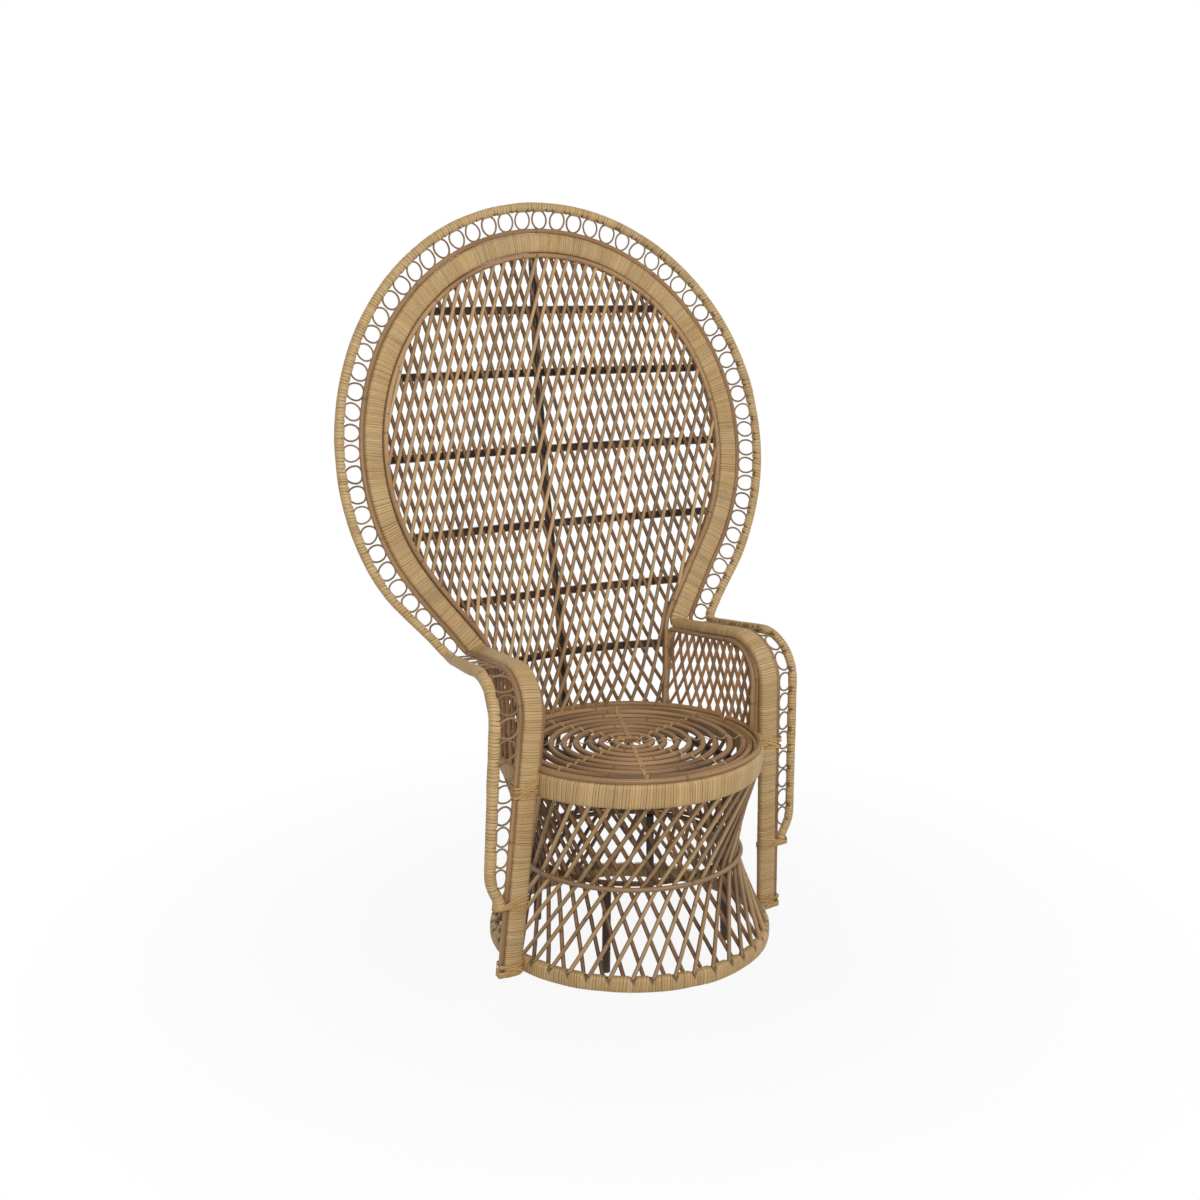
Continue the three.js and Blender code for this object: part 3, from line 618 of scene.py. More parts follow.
# drum: the base ring, two layers of canes that cross, and the hoops at the waist
drum = dict(
    cane=8.7, canes=43, bend=14, footHeight=24, headSink=10, uneven=0.2, nearSide=-121.9, waistHeight=187,
    waistRadius=235.5, waistRod=10, waistLap=(-20, 18), hoopRadius=200.7, hoopSize=(4.4, 11),
)
drumLayers = dict(  # angles in degrees; the canes crowd or spread slowly towards the far side
    Outer=dict(
        node="base_ring", lean=1, inset=0, turn=1.3, low=22, high=28, far=2.3,
        look=caneSkin, shade=0.5,
    ),
    # the inner layer's lower shade is painted shade, for the shadow inside the drum
    Inner=dict(
        node="seat_rim", lean=-1, inset=12.6, turn=2.8, low=15.5, high=23.5, far=-1.0,
        look=shadedBackCaneSkin, shade=0.3,
    ),
)


def polar(radius, angle, z):
    return np.array([radius * math.cos(angle * degree), radius * math.sin(angle * degree), z])


def caneAngles(layer):
    # where the canes cross the waist
    count = drum["canes"]
    angle = layer["turn"] + np.arange(count) * 360 / count + dice.normal(0, drum["uneven"], count)
    return angle + layer["far"] * (1 - np.cos((angle - drum["nearSide"]) * degree)) / 2


waistAngles = {name: caneAngles(layer) for name, layer in drumLayers.items()}

baseWrap = dict(
    size=(20, 32), sides=20, power=3.6, strip=5.6, groove=0.7, rise=0.4, slant=0.02, skew=0.11, uneven=0.5,
    patch=0.09, fleck=0.06, shade=0.52, nickFrom=0.35, nickRings=4,
)
baseMiddle = baseRadius - baseWrap["size"][0] / 2
line, start, end = ringLine(baseMiddle, baseWrap["size"][1] / 2)
feet = (waistAngles["Outer"] - drumLayers["Outer"]["low"]) % 360 * degree  # the wrap opens round each cane
nicks = start + feet * baseMiddle
wrapped("baseRingWrap", ["base_ring"], line, start, end, baseWrap, closed=True, nicks=nicks, nickSide=1)

outerWaist = drum["waistRadius"] - drum["waistRod"] - 2 * gap - drum["cane"] / 2
outerFoot = baseMiddle + drum["cane"] / 4
outerHead = rimRadius - rimTaper - gap - drum["cane"] / 2
for name, layer in drumLayers.items():
    bm = bmesh.new()
    for angle in waistAngles[name]:
        footAngle, headAngle = angle - layer["lean"] * layer["low"], angle + layer["lean"] * layer["high"]
        foot = polar(outerFoot - layer["inset"], footAngle, drum["footHeight"])
        waist = polar(outerWaist - layer["inset"], angle, drum["waistHeight"])
        head = polar(outerHead - layer["inset"], headAngle, rimBottom + drum["headSink"])
        points = np.concatenate([straight(foot, waist), straight(waist, head)[1:]])
        points = softCorner(points, waist, drum["bend"])
        line = withOut(points, points * np.array([1, 1, 0]))
        strand(bm, line, drum["cane"], step=16, joints=420, wander=0.8, shade=layer["shade"])
    finishPiece(bm, "drumCanes" + name, layer["look"], "rattan_cane", layer["node"])

line = rodRing(drum["waistRadius"] - drum["waistRod"] / 2, drum["waistHeight"], *drum["waistLap"])
rodPiece(
    "waistHoop", rodBark, "brown_rod", ["waist_hoop"], line, drum["waistRod"],
    sides=10, step=9, joints=310, wander=0.6, shade=0.3, spread=0.04,
)

# a brown strip inside the waist, on the heads of four dark posts
line = rodRing(drum["hoopRadius"], drum["waistHeight"])
rodPiece(
    "innerWaistHoop", shadedBackCaneSkin, "rattan_cane", [], line, drum["hoopSize"],
    sides=12, step=9, joints=380, power=3.2, shade=0.12, spread=0.04, dirt=0,
)

post = dict(rod=17, foot=203, head=196.5, turn=45)
postTop = drum["waistHeight"] - drum["hoopSize"][1] / 2
for i, place in enumerate(("right_rear", "left_rear", "left_front", "right_front")):
    angle = post["turn"] + 90 * i
    points = straight(polar(post["foot"], angle, 0), polar(post["head"], angle, postTop))
    words = place.split("_")
    rodPiece(
        words[0] + words[1].title() + "Post", darkRodSkin, "dark_rod", [place + "_post"],
        withOut(points, (0, 1, 0)), post["rod"], sides=14, step=12, joints=150,
    )

# seat: the wound rim, the coil, the strips that bind it and the bearers under it
rimWrap = dict(
    size=(22, 50), sides=24, power=4.2, strip=5.2, groove=0.55, rise=0.32, slant=0.015, skew=0.06,
    uneven=0.3, patch=0.08, fleck=0.05, shade=0.52, flare=0.08,
)
rimMiddle = rimRadius - (rimThick + rimTaper) / 2
line, start, end = ringLine(rimMiddle, seatTop - rimHeight / 2)
angle = np.arctan2(line[:, 1], line[:, 0])
flare = rimWrap["flare"]
line[:, 3:] = unit(np.c_[flare * np.cos(angle), flare * np.sin(angle), np.ones(len(line))])
wrapped("seatRimWrap", ["seat_rim"], line, start, end, rimWrap, closed=True)

coil = dict(
    rod=12.8, turns=8.5, extra=0.55, steps=1600, start=20, end=245.4, height=412, topRing=262.5,
    topHeight=418.5, topRod=12, topLap=(40, 34),
)
coilPitch = (coil["end"] - coil["start"]) / coil["turns"]
turn = np.linspace(0, coil["turns"] + coil["extra"], coil["steps"])  # the last part runs along the rim
radius = np.minimum(coil["start"] + coilPitch * turn, coil["end"])
x, y = radius * np.cos(math.tau * turn), radius * np.sin(math.tau * turn)
points = np.c_[x, y, np.full(len(turn), coil["height"])]
bm = bmesh.new()
# the coil's rods get strong painted shade on their sides, which also darkens the gaps between the turns
strand(
    bm, withOut(points, (0, 0, 1)), coil["rod"],
    sides=12, step=8, joints=300, wander=2.2, shade=0.45, spread=0, patchy=0.22, dirt=0.8,
)
line = rodRing(coil["topRing"], coil["topHeight"], *coil["topLap"])  # one more turn, on top of the rim
strand(bm, line, coil["topRod"], sides=12, step=9, joints=330, wander=0.8, shade=0.45, spread=0, patchy=0.16)
finishPiece(bm, "seatCoil", coilSkin, "rattan_cane", "seat_coil")

binding = dict(
    count=8, turn=21, strip=3.6, thick=1.0, apart=2.6, dip=6.5, before=4, after=3, steps=300, lift=0.5,
    swayEvery=60, sway=0.5,
)
reach = np.linspace(coil["start"] - binding["before"], coil["end"] + binding["after"], binding["steps"])
bindingTop = coil["height"] + coil["rod"] / 2 + binding["lift"]
for i in range(binding["count"]):
    bm = bmesh.new()
    angle = (binding["turn"] + i * 360 / binding["count"]) * degree
    aside = np.array([-math.sin(angle), math.cos(angle), 0])
    phase = (reach - coil["start"]) / coilPitch - angle / math.tau
    z = bindingTop - binding["dip"] * (1 - np.cos(math.tau * phase)) / 2
    middle = np.c_[reach * math.cos(angle), reach * math.sin(angle), z]
    for side in (-1, 1):  # two strips that cross between the turns
        sway = side * binding["apart"] * np.cos(math.pi * phase)
        sway = sway + drift(reach, binding["swayEvery"], binding["sway"])
        line = withOut(middle + aside * sway[:, None], aside)
        size = (binding["thick"], binding["strip"])
        strand(bm, line, size, step=4, power=4, shade=0.3, spread=0.12, dirt=0)
    finishPiece(bm, "seatBinding" + str(i + 1), tiePeel, "wrapped_peel", "seat_binding_" + str(i + 1))

bearerRod = 16
for hand in ("left", "right"):
    low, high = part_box(hand + "_seat_bearer")
    middle = (low + high) / 2
    ends = [np.array([middle.x, y - drumY, middle.z]) * 1000 for y in (low.y, high.y)]
    rodPiece(
        hand + "SeatBearer", darkRodSkin, "dark_rod", [hand + "_seat_bearer"],
        withOut(straight(*ends), (0, 0, 1)), bearerRod, sides=12, step=14, joints=210,
    )

# back and arms: the band, the edge rod, the loops and the hoop run from foot to foot
ringRadius = dict(hoop=503, edge=454.3, band=429, rim=403.2)
armOut = dict(edge=25.3, hoop=74.0, hoopLow=63.5, hoopHome=39.6)
bandWrap = dict(
    size=(20, 40), sides=24, power=3.4, strip=4.9, groove=0.5, rise=0.3, slant=0.03, skew=0.05, uneven=0.22,
    patch=0.07, fleck=0.05, shade=0.51, neck=16,
)
bandNodes = ("back_band", "left_arm_band", "right_arm_band")
bandLine, bandNeck = chairLine(ringRadius["band"], 0.0, legAt(0)[None], bandWrap["neck"])
bandWhole = lengths(bandLine)[-1]
wrapped("bandWrap", bandNodes, bandLine, 0.0, bandWhole, bandWrap, broad=(bandNeck, bandWhole - bandNeck))

edge = dict(rod=10, neck=14)
edgeNodes = ("back_edge_rod", "left_arm_edge_rod", "right_arm_edge_rod")
edgeFoot = legAt(0, armOut["edge"])[None]
edgeLine, edgeNeck = chairLine(ringRadius["edge"], armOut["edge"], edgeFoot, edge["neck"])
edgeWhole = lengths(edgeLine)[-1]
rodPiece(
    "edgeRod", rodBark, "brown_rod", edgeNodes, edgeLine, edge["rod"],
    sides=12, step=9, joints=290, wander=0.4, shade=0.45, spread=0.03, patchy=0.12,
)

# the hoop nears the legs on its way down and its ends turn in to them; both arms stand a little to the left
hoop = dict(
    end=150, turnStart=164.3, turnEnd=226, turnSteps=30, neck=20, inset=12, toLeft=7.5, fade=40, full=500,
)
z = np.linspace(hoop["end"], hoop["turnEnd"], hoop["turnSteps"])
share = np.clip((z - hoop["turnStart"]) / (hoop["turnEnd"] - hoop["turnStart"]), 0, 1)
outs = armOut["hoopHome"] + (armOut["hoopLow"] - armOut["hoopHome"]) * np.sin(math.pi / 2 * share)
turnedIn = np.array([legAt(height, out) for height, out in zip(z, outs)])
hoopLine, hoopNeck = chairLine(ringRadius["hoop"], armOut["hoop"], turnedIn, hoop["neck"], hoop["inset"])
hoopRun = lengths(hoopLine)
onArm = np.clip((hoopNeck - np.minimum(hoopRun, hoopRun[-1] - hoopRun)) / hoop["fade"], 0, 1)
aboveEnd = np.clip((hoopLine[:, 2] - hoop["end"]) / (hoop["full"] - hoop["end"]), 0, 1)
hoopLine[:, 0] -= hoop["toLeft"] * onArm * aboveEnd
hoopWrap = dict(
    size=(20, 20), sides=16, power=2.0, strip=6.6, groove=0.5, rise=0.4, slant=0.1, skew=0.09, uneven=0.32,
    patch=0.09, fleck=0.06, shade=0.66, nickFrom=-0.1, nickRings=1, stitch=14, stitchFrom=-190, stitchTo=18,
    stitchSpread=2, leftMore=1.7, rightLess=-0.8, thickEnd=150,
)

# loops of thin cane between the edge rod and the hoop
loop = dict(
    cane=4.0, backPitch=39.3, armPitch=43, steps=28, fill=0.97, apart=48.7, inHoop=3.4, inEdge=1.4,
    lowest=188, armEnd=30, backEnd=10, nick=4, powers=(1.9, 2.25), widths=(0.96, 1.03), lopsided=0.06,
    tilt=0.05, canes=(0.94, 1.08), shades=(0.2, 0.75),
)
legPart = loop["lowest"] / upLeg[2]
places, pitches = [], []
for start, end, pitch in (
    (legPart, edgeNeck - loop["armEnd"], loop["armPitch"]),
    (edgeNeck + loop["backEnd"], edgeWhole - edgeNeck - loop["backEnd"], loop["backPitch"]),
    (edgeWhole - edgeNeck + loop["armEnd"], edgeWhole - legPart, loop["armPitch"]),
):
    count = round((end - start) / pitch)
    places += list(start + (np.arange(count) + 0.5) * (end - start) / count)
    pitches += [(end - start) / count] * count
middle, along, out, under = directions(edgeLine, np.array(places))
turn = math.tau * np.arange(loop["steps"]) / loop["steps"]
bm = bmesh.new()
nicks = []
for i, pitch in enumerate(pitches):
    nearest = np.argmin(np.linalg.norm(hoopLine[:, :3] - middle[i] - out[i] * loop["apart"], axis=1))
    reach = hoopLine[nearest, :3] - middle[i]
    span = np.linalg.norm(reach)
    shape = ovalSection(loop["steps"], dice.uniform(*loop["powers"]))
    low, high = edge["rod"] / 2 - loop["inEdge"], span - hoopWrap["size"][1] / 2 + loop["inHoop"]
    inside = (low + high) / 2 + shape[:, 0] * (high - low) / 2
    wide = (pitch * loop["fill"] - loop["cane"]) / 2 * dice.uniform(*loop["widths"])
    sideways = shape[:, 1] * wide * (1 + loop["lopsided"] * dice.normal() * np.cos(turn))
    sideways = sideways + dice.normal(0, loop["tilt"]) * (inside - span / 2)
    lift = dice.normal() * np.sin(turn)
    points = middle[i] + unit(reach) * inside[:, None] + along[i] * sideways[:, None]
    points = points + under[i] * lift[:, None]
    cane = loop["cane"] * dice.uniform(*loop["canes"])
    closedStrand(bm, points, under[i], cane, dice.uniform(*loop["shades"]))
    nicks += [hoopRun[nearest] - pitch / 2 + loop["nick"], hoopRun[nearest] + pitch / 2 - loop["nick"]]
finishPiece(bm, "edgeLoops", loopCaneSkin, "brown_rod", *edgeNodes)

# the stitches are nicks in the hoop's wrap, darkened with painted shade
stitches = np.arange(hoopNeck + hoopWrap["stitchFrom"], hoopNeck + hoopWrap["stitchTo"], hoopWrap["stitch"])
for side in (0, 1):  # stitches along the arms, where the strips go round the loops' ends
    for s in stitches:
        nicks.append(abs(side * hoopRun[-1] - s - dice.normal(0, hoopWrap["stitchSpread"])))
hoopNodes = ("back_hoop", "left_arm_hoop", "right_arm_hoop")
farNeck = hoopRun[-1] - hoopNeck
thicker = (
    (hoopNeck - hoopWrap["thickEnd"], hoopWrap["leftMore"]), (hoopNeck, 0), (farNeck, 0),
    (farNeck + hoopWrap["thickEnd"], hoopWrap["rightLess"]),
)
wrapped("hoopWrap", hoopNodes, hoopLine, 0.0, hoopRun[-1], hoopWrap, nicks=nicks, thicker=thicker)

# back lattice: two layers of canes inside a pair of bent rods
lattice = dict(
    cane=8.5, layer=4.6, most=40, shortest=45, uneven=0.4, rodOff=5.3, floor=414.8, sink=7, rodFoot=16,
    every=6, bendScale=400, outlineStep=6.0,
    caneWays=dict(step=22, joints=430, wander=0.7),
    rodWays=dict(joints=270, wander=0.4, shade=0.5, spread=0.03),
)


def rimOutline():
    # the lattice's outline in the front view, from the seat over the oval's top to the seat
    radius, step = ringRadius["rim"], lattice["outlineStep"]
    neckX = ovalSide(radius, neckTop)
    shoulderZ = ovalHeight - radius * math.sin(shoulder)
    z = np.arange(lattice["floor"], neckTop, step)
    share = (z - lattice["floor"]) / (neckTop - lattice["floor"])
    low = np.c_[footHalf + (neckX - footHalf) * share, z]
    z = np.arange(neckTop, shoulderZ, step)
    neck = np.c_[ovalSide(radius, z), z]
    angle = np.arange(-shoulder, math.pi / 2, step / radius)
    over = np.c_[radius * np.cos(angle), ovalHeight + radius * np.sin(angle)]
    half = eased(np.concatenate([low, neck, over]))
    return np.concatenate([half * (-1, 1), [[0, ovalHeight + radius]], half[::-1]])


def canesInside(outline, runs, most, shortest):
    # the stretches of slanting canes that lie inside an outline; runs(i, z) tells where the i-th one goes
    top = int(outline[:, 1].argmax())
    z = np.arange(outline[:, 1].min() - lattice["sink"], outline[top, 1], 1.0)
    left = np.interp(z, outline[: top + 1, 1], outline[: top + 1, 0])
    right = np.interp(z, outline[top:, 1][::-1], outline[top:, 0][::-1])
    found = []
    for i in range(-most, most + 1):
        place = runs(i, z)
        inside = (place > left) & (place < right)
        marks = np.flatnonzero(np.diff(np.concatenate([[0], inside.astype(int), [0]])))
        for first, last in zip(marks[::2], marks[1::2]):
            if last - first > shortest:
                kept = slice(first, last, lattice["every"])
                found.append((place[kept], z[kept]))
    return found


def withFeet(outline):
    # both ends carried on down, beside the rim
    drop = np.array([0, lattice["rodFoot"]])
    first, last = straight(outline[0] - drop, outline[0]), straight(outline[-1], outline[-1] - drop)
    return np.concatenate([first[:-1], outline, last[1:]])


def weave(pitch, slope, first, level, bends=()):
    # canes that run almost straight: how much they bend depends on the place across and the height
    def runs(i, z):
        across = first + i * pitch
        s, h = across / lattice["bendScale"], (z - level) / lattice["bendScale"]
        terms = (s * s, s * h, h * h, s**3, s * s * h, s * h * h, h**3)
        return across + slope * (z - level) + sum(b * t for b, t in zip(bends, terms))

    return runs


def wovenPieces(name, node, look, outline, plan, layer, surface):
    # one layer of canes inside an outline, and the rod that holds their ends
    bm = bmesh.new()
    for across, z in canesInside(outline, layer["runs"], plan["most"], plan["shortest"]):
        line = surface(across + dice.normal(0, plan["uneven"]), z, layer["side"] * plan["layer"])
        strand(bm, line, plan["cane"], **plan["caneWays"])
    finishPiece(bm, name, look, "rattan_cane", node)
    footed = withFeet(outline)
    line = surface(footed[:, 0], footed[:, 1], layer["side"] * plan["rodOff"])
    ways = {"sides": 12, "step": 9, "patchy": 0.12, **plan["rodWays"]}
    rodPiece(name + "Rod", rodBark, "rattan_cane", [node], line, layer["rod"], **ways)


frontBends = (7.7, -2.29, 0.15, -11.41, -9.15, 1.38, -4.02)
rearBends = (13.73, -22.51, 10.07, -8.76, -28.77, 12.11, -14.19)
latticeLayers = dict(
    Front=dict(
        node="back_lattice_front", side=-1, rod=11, look=caneSkin,
        runs=weave(pitch=25.1, slope=0.3876, first=9.67, level=ovalHeight, bends=frontBends),
    ),
    Rear=dict(
        node="back_lattice_rear", side=1, rod=10, look=shadedBackCaneSkin,
        runs=weave(pitch=25.76, slope=-0.2734, first=14.56, level=ovalHeight, bends=rearBends),
    ),
)
rimShape = rimOutline()
for name, layer in latticeLayers.items():
    wovenPieces("lattice" + name, layer["node"], layer["look"], rimShape, lattice, layer, backLine)

crossRods = dict(rod=17.5, heights=(549, 685, 830, 988, 1149, 1280), off=17.2, steps=120)
upper = rimShape[len(rimShape) // 2 :][::-1]
for n, z in enumerate(crossRods["heights"]):
    half = np.interp(z, upper[:, 1], upper[:, 0])
    line = backLine(np.linspace(-half, half, crossRods["steps"]), float(z), crossRods["off"])
    rodPiece(
        "crossRod" + str(n + 1), darkRodSkin, "dark_rod", ["back_cross_rod_" + str(n + 1)],
        line, crossRods["rod"], sides=10, step=14, joints=240,
    )

# a pole behind them, a little crooked, from the rim to the top of the band
pole = dict(
    rod=17.5, off=34, foot=7, head=-3, bow=15, bowPower=0.6, top=1417, bent=22, steps=200, footSteps=12,
    easing=8,
)
z = np.linspace(seatTop + pole["bent"], pole["top"], pole["steps"])
share = (z - seatTop) / (pole["top"] - seatTop)
x = pole["foot"] + (pole["head"] - pole["foot"]) * share
x = x - pole["bow"] * np.sin(math.pi * share ** pole["bowPower"])
reach = rimRadius + gap + pole["rod"] / 2
foot = np.array([[pole["foot"], reach, h] for h in np.linspace(rimBottom, seatTop, pole["footSteps"])])
points = eased(np.concatenate([foot, backLine(x, z, pole["off"])[:, :3]]), pole["easing"])
rodPiece(
    "backPole", darkRodSkin, "dark_rod", ["back_pole"], withOut(points, (1, 0, 0)), pole["rod"],
    sides=12, step=12, joints=260,
)

# side panels, between the rim and the arm's underside
panel = dict(
    cane=7, layer=3.9, most=30, shortest=14, uneven=0.6, rodOff=5.2, inset=6, footIn=5, corner=8, drop=13,
    clear=-3,
    caneWays=dict(step=16, joints=320, wander=0.6),
    rodWays=dict(joints=230, wander=0.3, shade=0.45, spread=0.04),
)
armFlare = (legAt(cornerHeight)[0] - neckHalf) / (neckY - cornerY)
panelFoot = rimRadius - panel["inset"]
panelDish = (panelFoot - footHalf - panel["footIn"]) / footReach**2


def panelX(y, z):
    share = (z - seatTop) / (armHeight(y) - panel["drop"] - seatTop)
    top = neckHalf + armFlare * (neckY - y) - bandWidth / 2 + gap
    return (panelFoot - panelDish * y**2) * (1 - share) + top * share


def panelLine(y, z, off):
    slopeY = (panelX(y + 1, z) - panelX(y - 1, z)) / 2
    slopeZ = (panelX(y, z + 1) - panelX(y, z - 1)) / 2
    normal = unit(np.stack([np.ones_like(slopeY), -slopeY, -slopeZ], axis=-1))
    return np.hstack([np.stack([panelX(y, z), y, z], axis=-1) + normal * off, normal])


def panelOutline():
    # the panel's outline in the side view, from the front foot along the arm to the rear foot
    corner, foot = legAt(cornerHeight)[1:], legAt(0)[1:]
    neck = np.array([neckY, neckHeight])
    down, back = unit(foot - corner), unit(neck - corner)
    angle = math.acos(down @ back)
    inner = corner + (down + back) * panel["drop"] / math.sin(angle)
    front = inner + down * (lattice["floor"] - inner[1]) / down[1]
    rearTop = inner + back * (neckY - panel["clear"] - inner[0]) / back[0]
    rearFoot = np.array([footReach - panel["clear"], lattice["floor"]])
    points = [straight(front, inner), straight(inner, rearTop)[1:], straight(rearTop, rearFoot)[1:]]
    reach = (cornerRadius - panel["drop"]) / math.tan(angle / 2)
    points = softCorner(np.concatenate(points), inner, reach)
    return softCorner(points, rearTop, panel["corner"])


panelLayers = dict(
    inner=dict(side=-1, rod=11, runs=weave(pitch=23, slope=-0.43, first=-2.3, level=seatTop)),
    outer=dict(side=1, rod=11, runs=weave(pitch=25.5, slope=0.37, first=5.1, level=seatTop)),
)
panelSides = dict(left=lambda y, z, off: mirrored(panelLine(y, z, off)), right=panelLine)
panelShape = panelOutline()
for hand, surface in panelSides.items():
    for face, layer in panelLayers.items():
        name, node = hand + face.title() + "Panel", hand + "_panel_" + face
        wovenPieces(name, node, panelSkin, panelShape, panel, layer, surface)

# lashings: strips of peel round the legs, and over the seat's rim
tie = dict(
    strip=4.3, thick=1.1, edgeOut=30.6, hoopOut=51.0, clear=1, legDeep=0.9, rimDeep=1.2, offFloor=0.4,
    offRim=1.4, steps=48, power=6, corners=4, cut=(0.78, 0.22), legShades=(0.15, 0.6), rimShades=(0.3, 0.65),
)
rimRoute = dict(  # on the leg: from the low (0) or high (1) end, up, out, to the rear; on the rim: out, up
    climb=((0, 0, 31.4, 0), (0, 3, 22, -1), (1, 0, -17, -1)),
    over=((1.5, -3), (-11, 0), (-23.2, -3)),
    under=((-27, 4), (-15, 0), (-3, 3)),
    back=((1, -34, -18, 1), (0, 2, 22, 1)),
)


def legTie(bm, z, outside, rise, right):
    # a strip round the leg and the rods beside it, its front climbing inwards by the rise
    inner, outer = -bandWidth / 2 - tie["clear"], outside + tie["clear"]
    deep = bandThick / 2 + tie["legDeep"]
    shape = ovalSection(tie["steps"], tie["power"])
    x = (inner + outer) / 2 + shape[:, 1] * (outer - inner) / 2
    climb = np.maximum(z - shape[:, 1] * shape[:, 0] * rise / 2, tie["strip"] / 2 + tie["offFloor"])
    points = np.array([legAt(h) + np.array([a, -b * deep, 0]) for a, b, h in zip(x, shape[:, 0], climb)])
    flip = np.array([right, 1, 1])
    size, shade = (tie["thick"], tie["strip"]), dice.uniform(*tie["legShades"])
    closedStrand(bm, points * flip, upLeg * flip, size, shade)


def rimTie(bm, low, high, shift, right):
    # a strip from the leg's outer side across its front, over the rim and back underneath
    deep = np.array([0, bandThick / 2 + tie["rimDeep"], 0])
    aside = math.degrees(math.atan2(legY(seatTop) + shift, legAt(seatTop)[0]))
    tangent = np.array([-math.sin(aside * degree), math.cos(aside * degree), 0])

    def onLeg(part):
        places = [legAt((low, high)[end] + up, out) + rear * deep for end, up, out, rear in rimRoute[part]]
        return withOut(np.array(places), upLeg)

    def onRim(part, level):
        places = [polar(rimRadius + out, aside, level + up) for out, up in rimRoute[part]]
        return withOut(np.array(places), tangent)

    over, under = onRim("over", seatTop + tie["offRim"]), onRim("under", rimBottom - tie["offRim"])
    rows = np.concatenate([onLeg("climb"), over, under, onLeg("back")])
    near, far = tie["cut"]
    for _ in range(tie["corners"]):  # each corner is cut off, and the new ones again
        after = np.roll(rows, -1, 0)
        rows = np.stack([near * rows + far * after, far * rows + near * after], axis=1).reshape(-1, 6)
    rows = rows if right > 0 else mirrored(rows)
    size, shade = (tie["thick"], tie["strip"]), dice.uniform(*tie["rimShades"])
    closedStrand(bm, rows[:, :3], rows[:, 3:], size, shade)


ties = dict(  # rows of height and rise
    foot=dict(outside=tie["edgeOut"], rows=((17, 22), (19, -22), (11, 12), (9, -10), (27, 9), (5, 2))),
    hoop=dict(outside=tie["hoopOut"], rows=((149, -3), (153, 5), (158, 13), (163, 21))),
    rim=dict(outside=tie["edgeOut"], rows=((392, -14), (386, -12), (379, 4), (398, 3))),
)
rimTies = ((377, 398, -6), (384, 404, -3), (391, 409, 0))  # low end, high end, shift along the rim
for hand, right in (("left", -1), ("right", 1)):
    for name, rows in ties.items():
        bm = bmesh.new()
        for height, rise in rows["rows"]:
            legTie(bm, height, rows["outside"], rise, right)
        if name == "rim":
            for low, high, shift in rimTies:
                rimTie(bm, low, high, shift, right)
        finishPiece(bm, hand + name.title() + "Tie", tiePeel, "wrapped_peel", hand + "_" + name + "_strap")

# small nails along the lattice's front rod
nails = dict(head=1.5, flat=0.5, spacing=98, first=40, last=30, uneven=8, out=5.4)
bm = bmesh.new()
line = backLine(rimShape[:, 0], rimShape[:, 1], -lattice["rodOff"])
for s in np.arange(nails["first"], lengths(line)[-1] - nails["last"], nails["spacing"]):
    here = at(line, np.array([s + dice.normal(0, nails["uneven"])]))[0]
    place = leaned(here[:3] - here[3:] * nails["out"])
    spot = Matrix.Translation(Vector(place) * mm + Vector((0, drumY, 0)))
    turn = Vector(-here[3:]).to_track_quat("Z", "Y").to_matrix().to_4x4()
    shape = spot @ turn @ Matrix.Diagonal((1, 1, nails["flat"], 1))
    bmesh.ops.create_uvsphere(bm, u_segments=7, v_segments=4, radius=nails["head"] * mm, matrix=shape)
finishPiece(bm, "rodNails", nailIron, "dark_rod")

# floor, light and camera
stage = dict(
    floor=14, white=(0.55, 0.55, 0.55, 1), rough=0.9, glow=0.91, near=0.5, far=1.25, sky=0.44,
    aim=(0, 0, 0.7),
)
lamps = dict(
    keyLamp=dict(place=(-1.3, -3.1, 2.2), size=2.4, power=81),
    fillLamp=dict(place=(3.1, -1.4, 1.6), size=2.2, power=17),
    rearLamp=dict(place=(0.9, 3.3, 2.5), size=2.4, power=46),
)
bm = bmesh.new()
bmesh.ops.create_grid(bm, x_segments=4, y_segments=4, size=stage["floor"])
mesh = bpy.data.meshes.new("studioFloor")
bm.to_mesh(mesh)
bm.free()
floor = bpy.data.objects.new("studioFloor", mesh)
scene.collection.objects.link(floor)
floor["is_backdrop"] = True


def seenRays(tree):
    # rays that show a surface itself: straight from the camera, mirrored or let through
    path = addNode(tree, "LightPath").outputs
    seen = mathNode(tree, "MAXIMUM", path["Is Camera Ray"], path["Is Glossy Ray"])
    return mathNode(tree, "MAXIMUM", seen, path["Is Transmission Ray"])


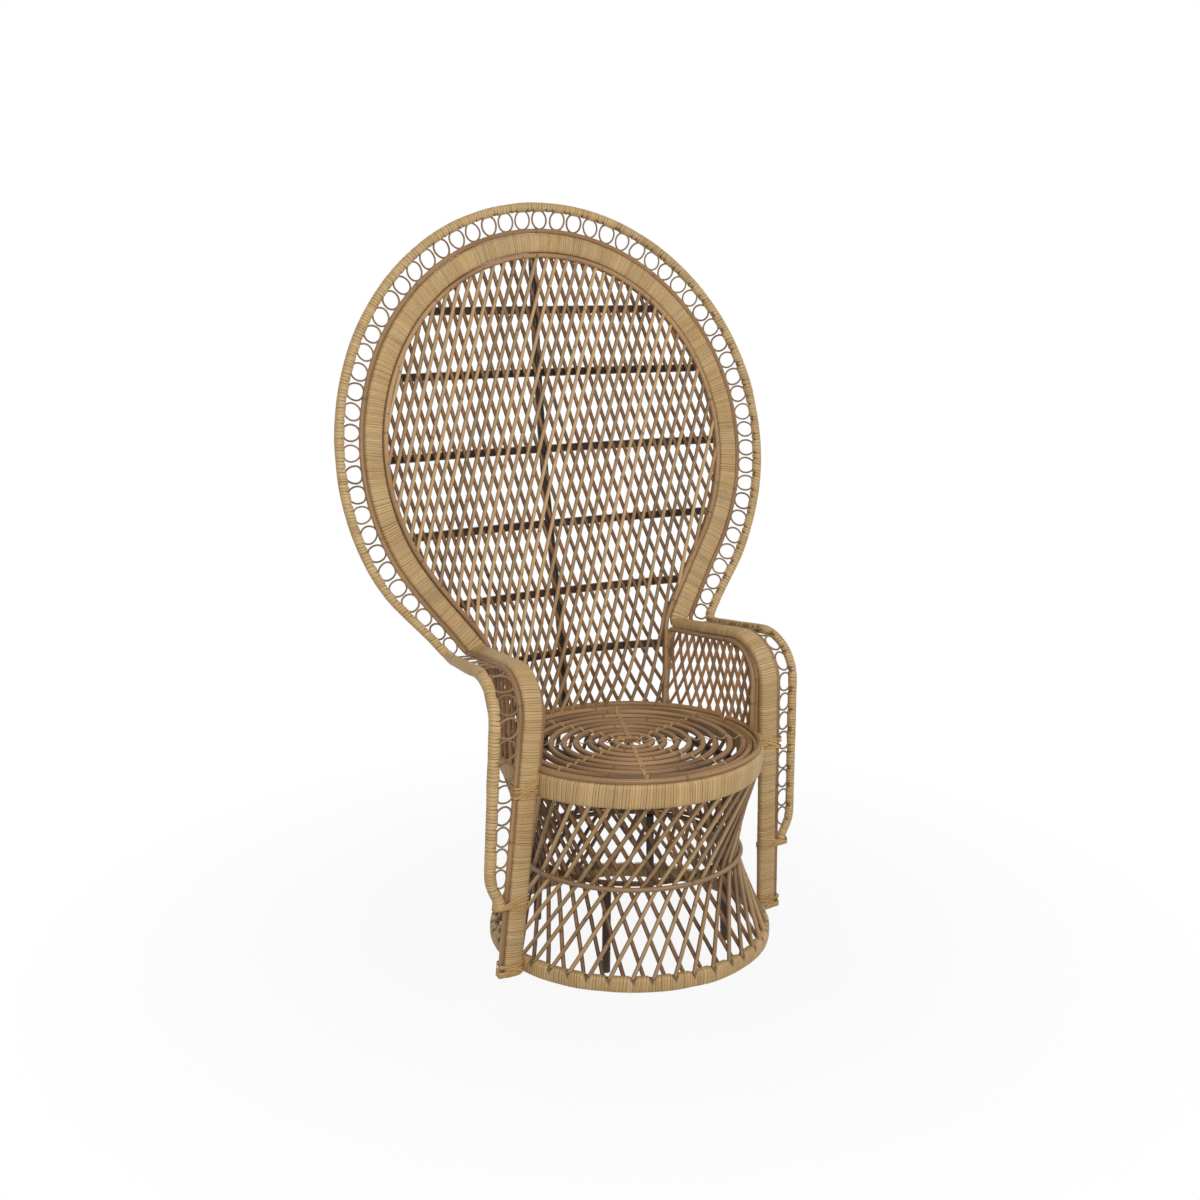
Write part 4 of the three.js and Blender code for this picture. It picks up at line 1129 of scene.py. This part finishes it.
material, tree, surface = newMaterial("studioWhite")
surface.inputs["Base Color"].default_value = stage["white"]
surface.inputs["Roughness"].default_value = stage["rough"]
surface.inputs["Specular IOR Level"].default_value = 0
glow = addNode(tree, "Emission", {"Strength": 1})
place = addNode(tree, "TexCoord").outputs["Object"]
apart = addNode(tree, "VectorMath", {0: place}, operation="LENGTH").outputs["Value"]
spans = {"From Min": stage["near"], "From Max": stage["far"], "To Min": stage["glow"], "To Max": 1}
fade = addNode(tree, "MapRange", {"Value": apart, **spans})  # far off, the floor is as white as the sky
seen = mathNode(tree, "MULTIPLY", seenRays(tree), fade.outputs["Result"])
mixed = addNode(tree, "MixShader", {0: seen, 1: surface.outputs[0], 2: glow.outputs[0]})
tree.links.new(mixed.outputs[0], tree.nodes["Material Output"].inputs["Surface"])
mesh.materials.append(material)

world = bpy.data.worlds.new("studioSky")
scene.world = world
world.use_nodes = True
tree = world.node_tree
sky = tree.nodes["Background"]
sky.inputs["Color"].default_value = (1, 1, 1, 1)
strength = mathNode(tree, "ADD", mathNode(tree, "MULTIPLY", seenRays(tree), 1 - stage["sky"]), stage["sky"])
tree.links.new(strength, sky.inputs["Strength"])

for name, settings in lamps.items():
    lamp = bpy.data.lights.new(name, "AREA")
    lamp.shape = "DISK"
    lamp.size = settings["size"]
    lamp.energy = settings["power"]
    holder = bpy.data.objects.new(name, lamp)
    holder.location = settings["place"]
    facing = Vector(stage["aim"]) - Vector(settings["place"])
    holder.rotation_euler = facing.to_track_quat("-Z", "Y").to_euler()
    scene.collection.objects.link(holder)

view = dict(place=(-1532.2, -2459.8, 1341.7), turn=-30.69, down=12.273, focal=1473.3, image=1200, sensor=36)
eye = bpy.data.cameras.new("photoCamera")
eye.sensor_width = view["sensor"]
eye.lens = view["sensor"] * view["focal"] / view["image"]
camera = bpy.data.objects.new("photoCamera", eye)
camera.location = Vector(view["place"]) * mm + Vector((0, drumY, 0))
camera.rotation_euler = ((90 - view["down"]) * degree, 0, view["turn"] * degree)
scene.collection.objects.link(camera)
scene.camera = camera
scene.view_settings.view_transform = "Standard"

low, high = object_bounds()
print("chair built, box", [round(v, 4) for v in (*low, *high)])
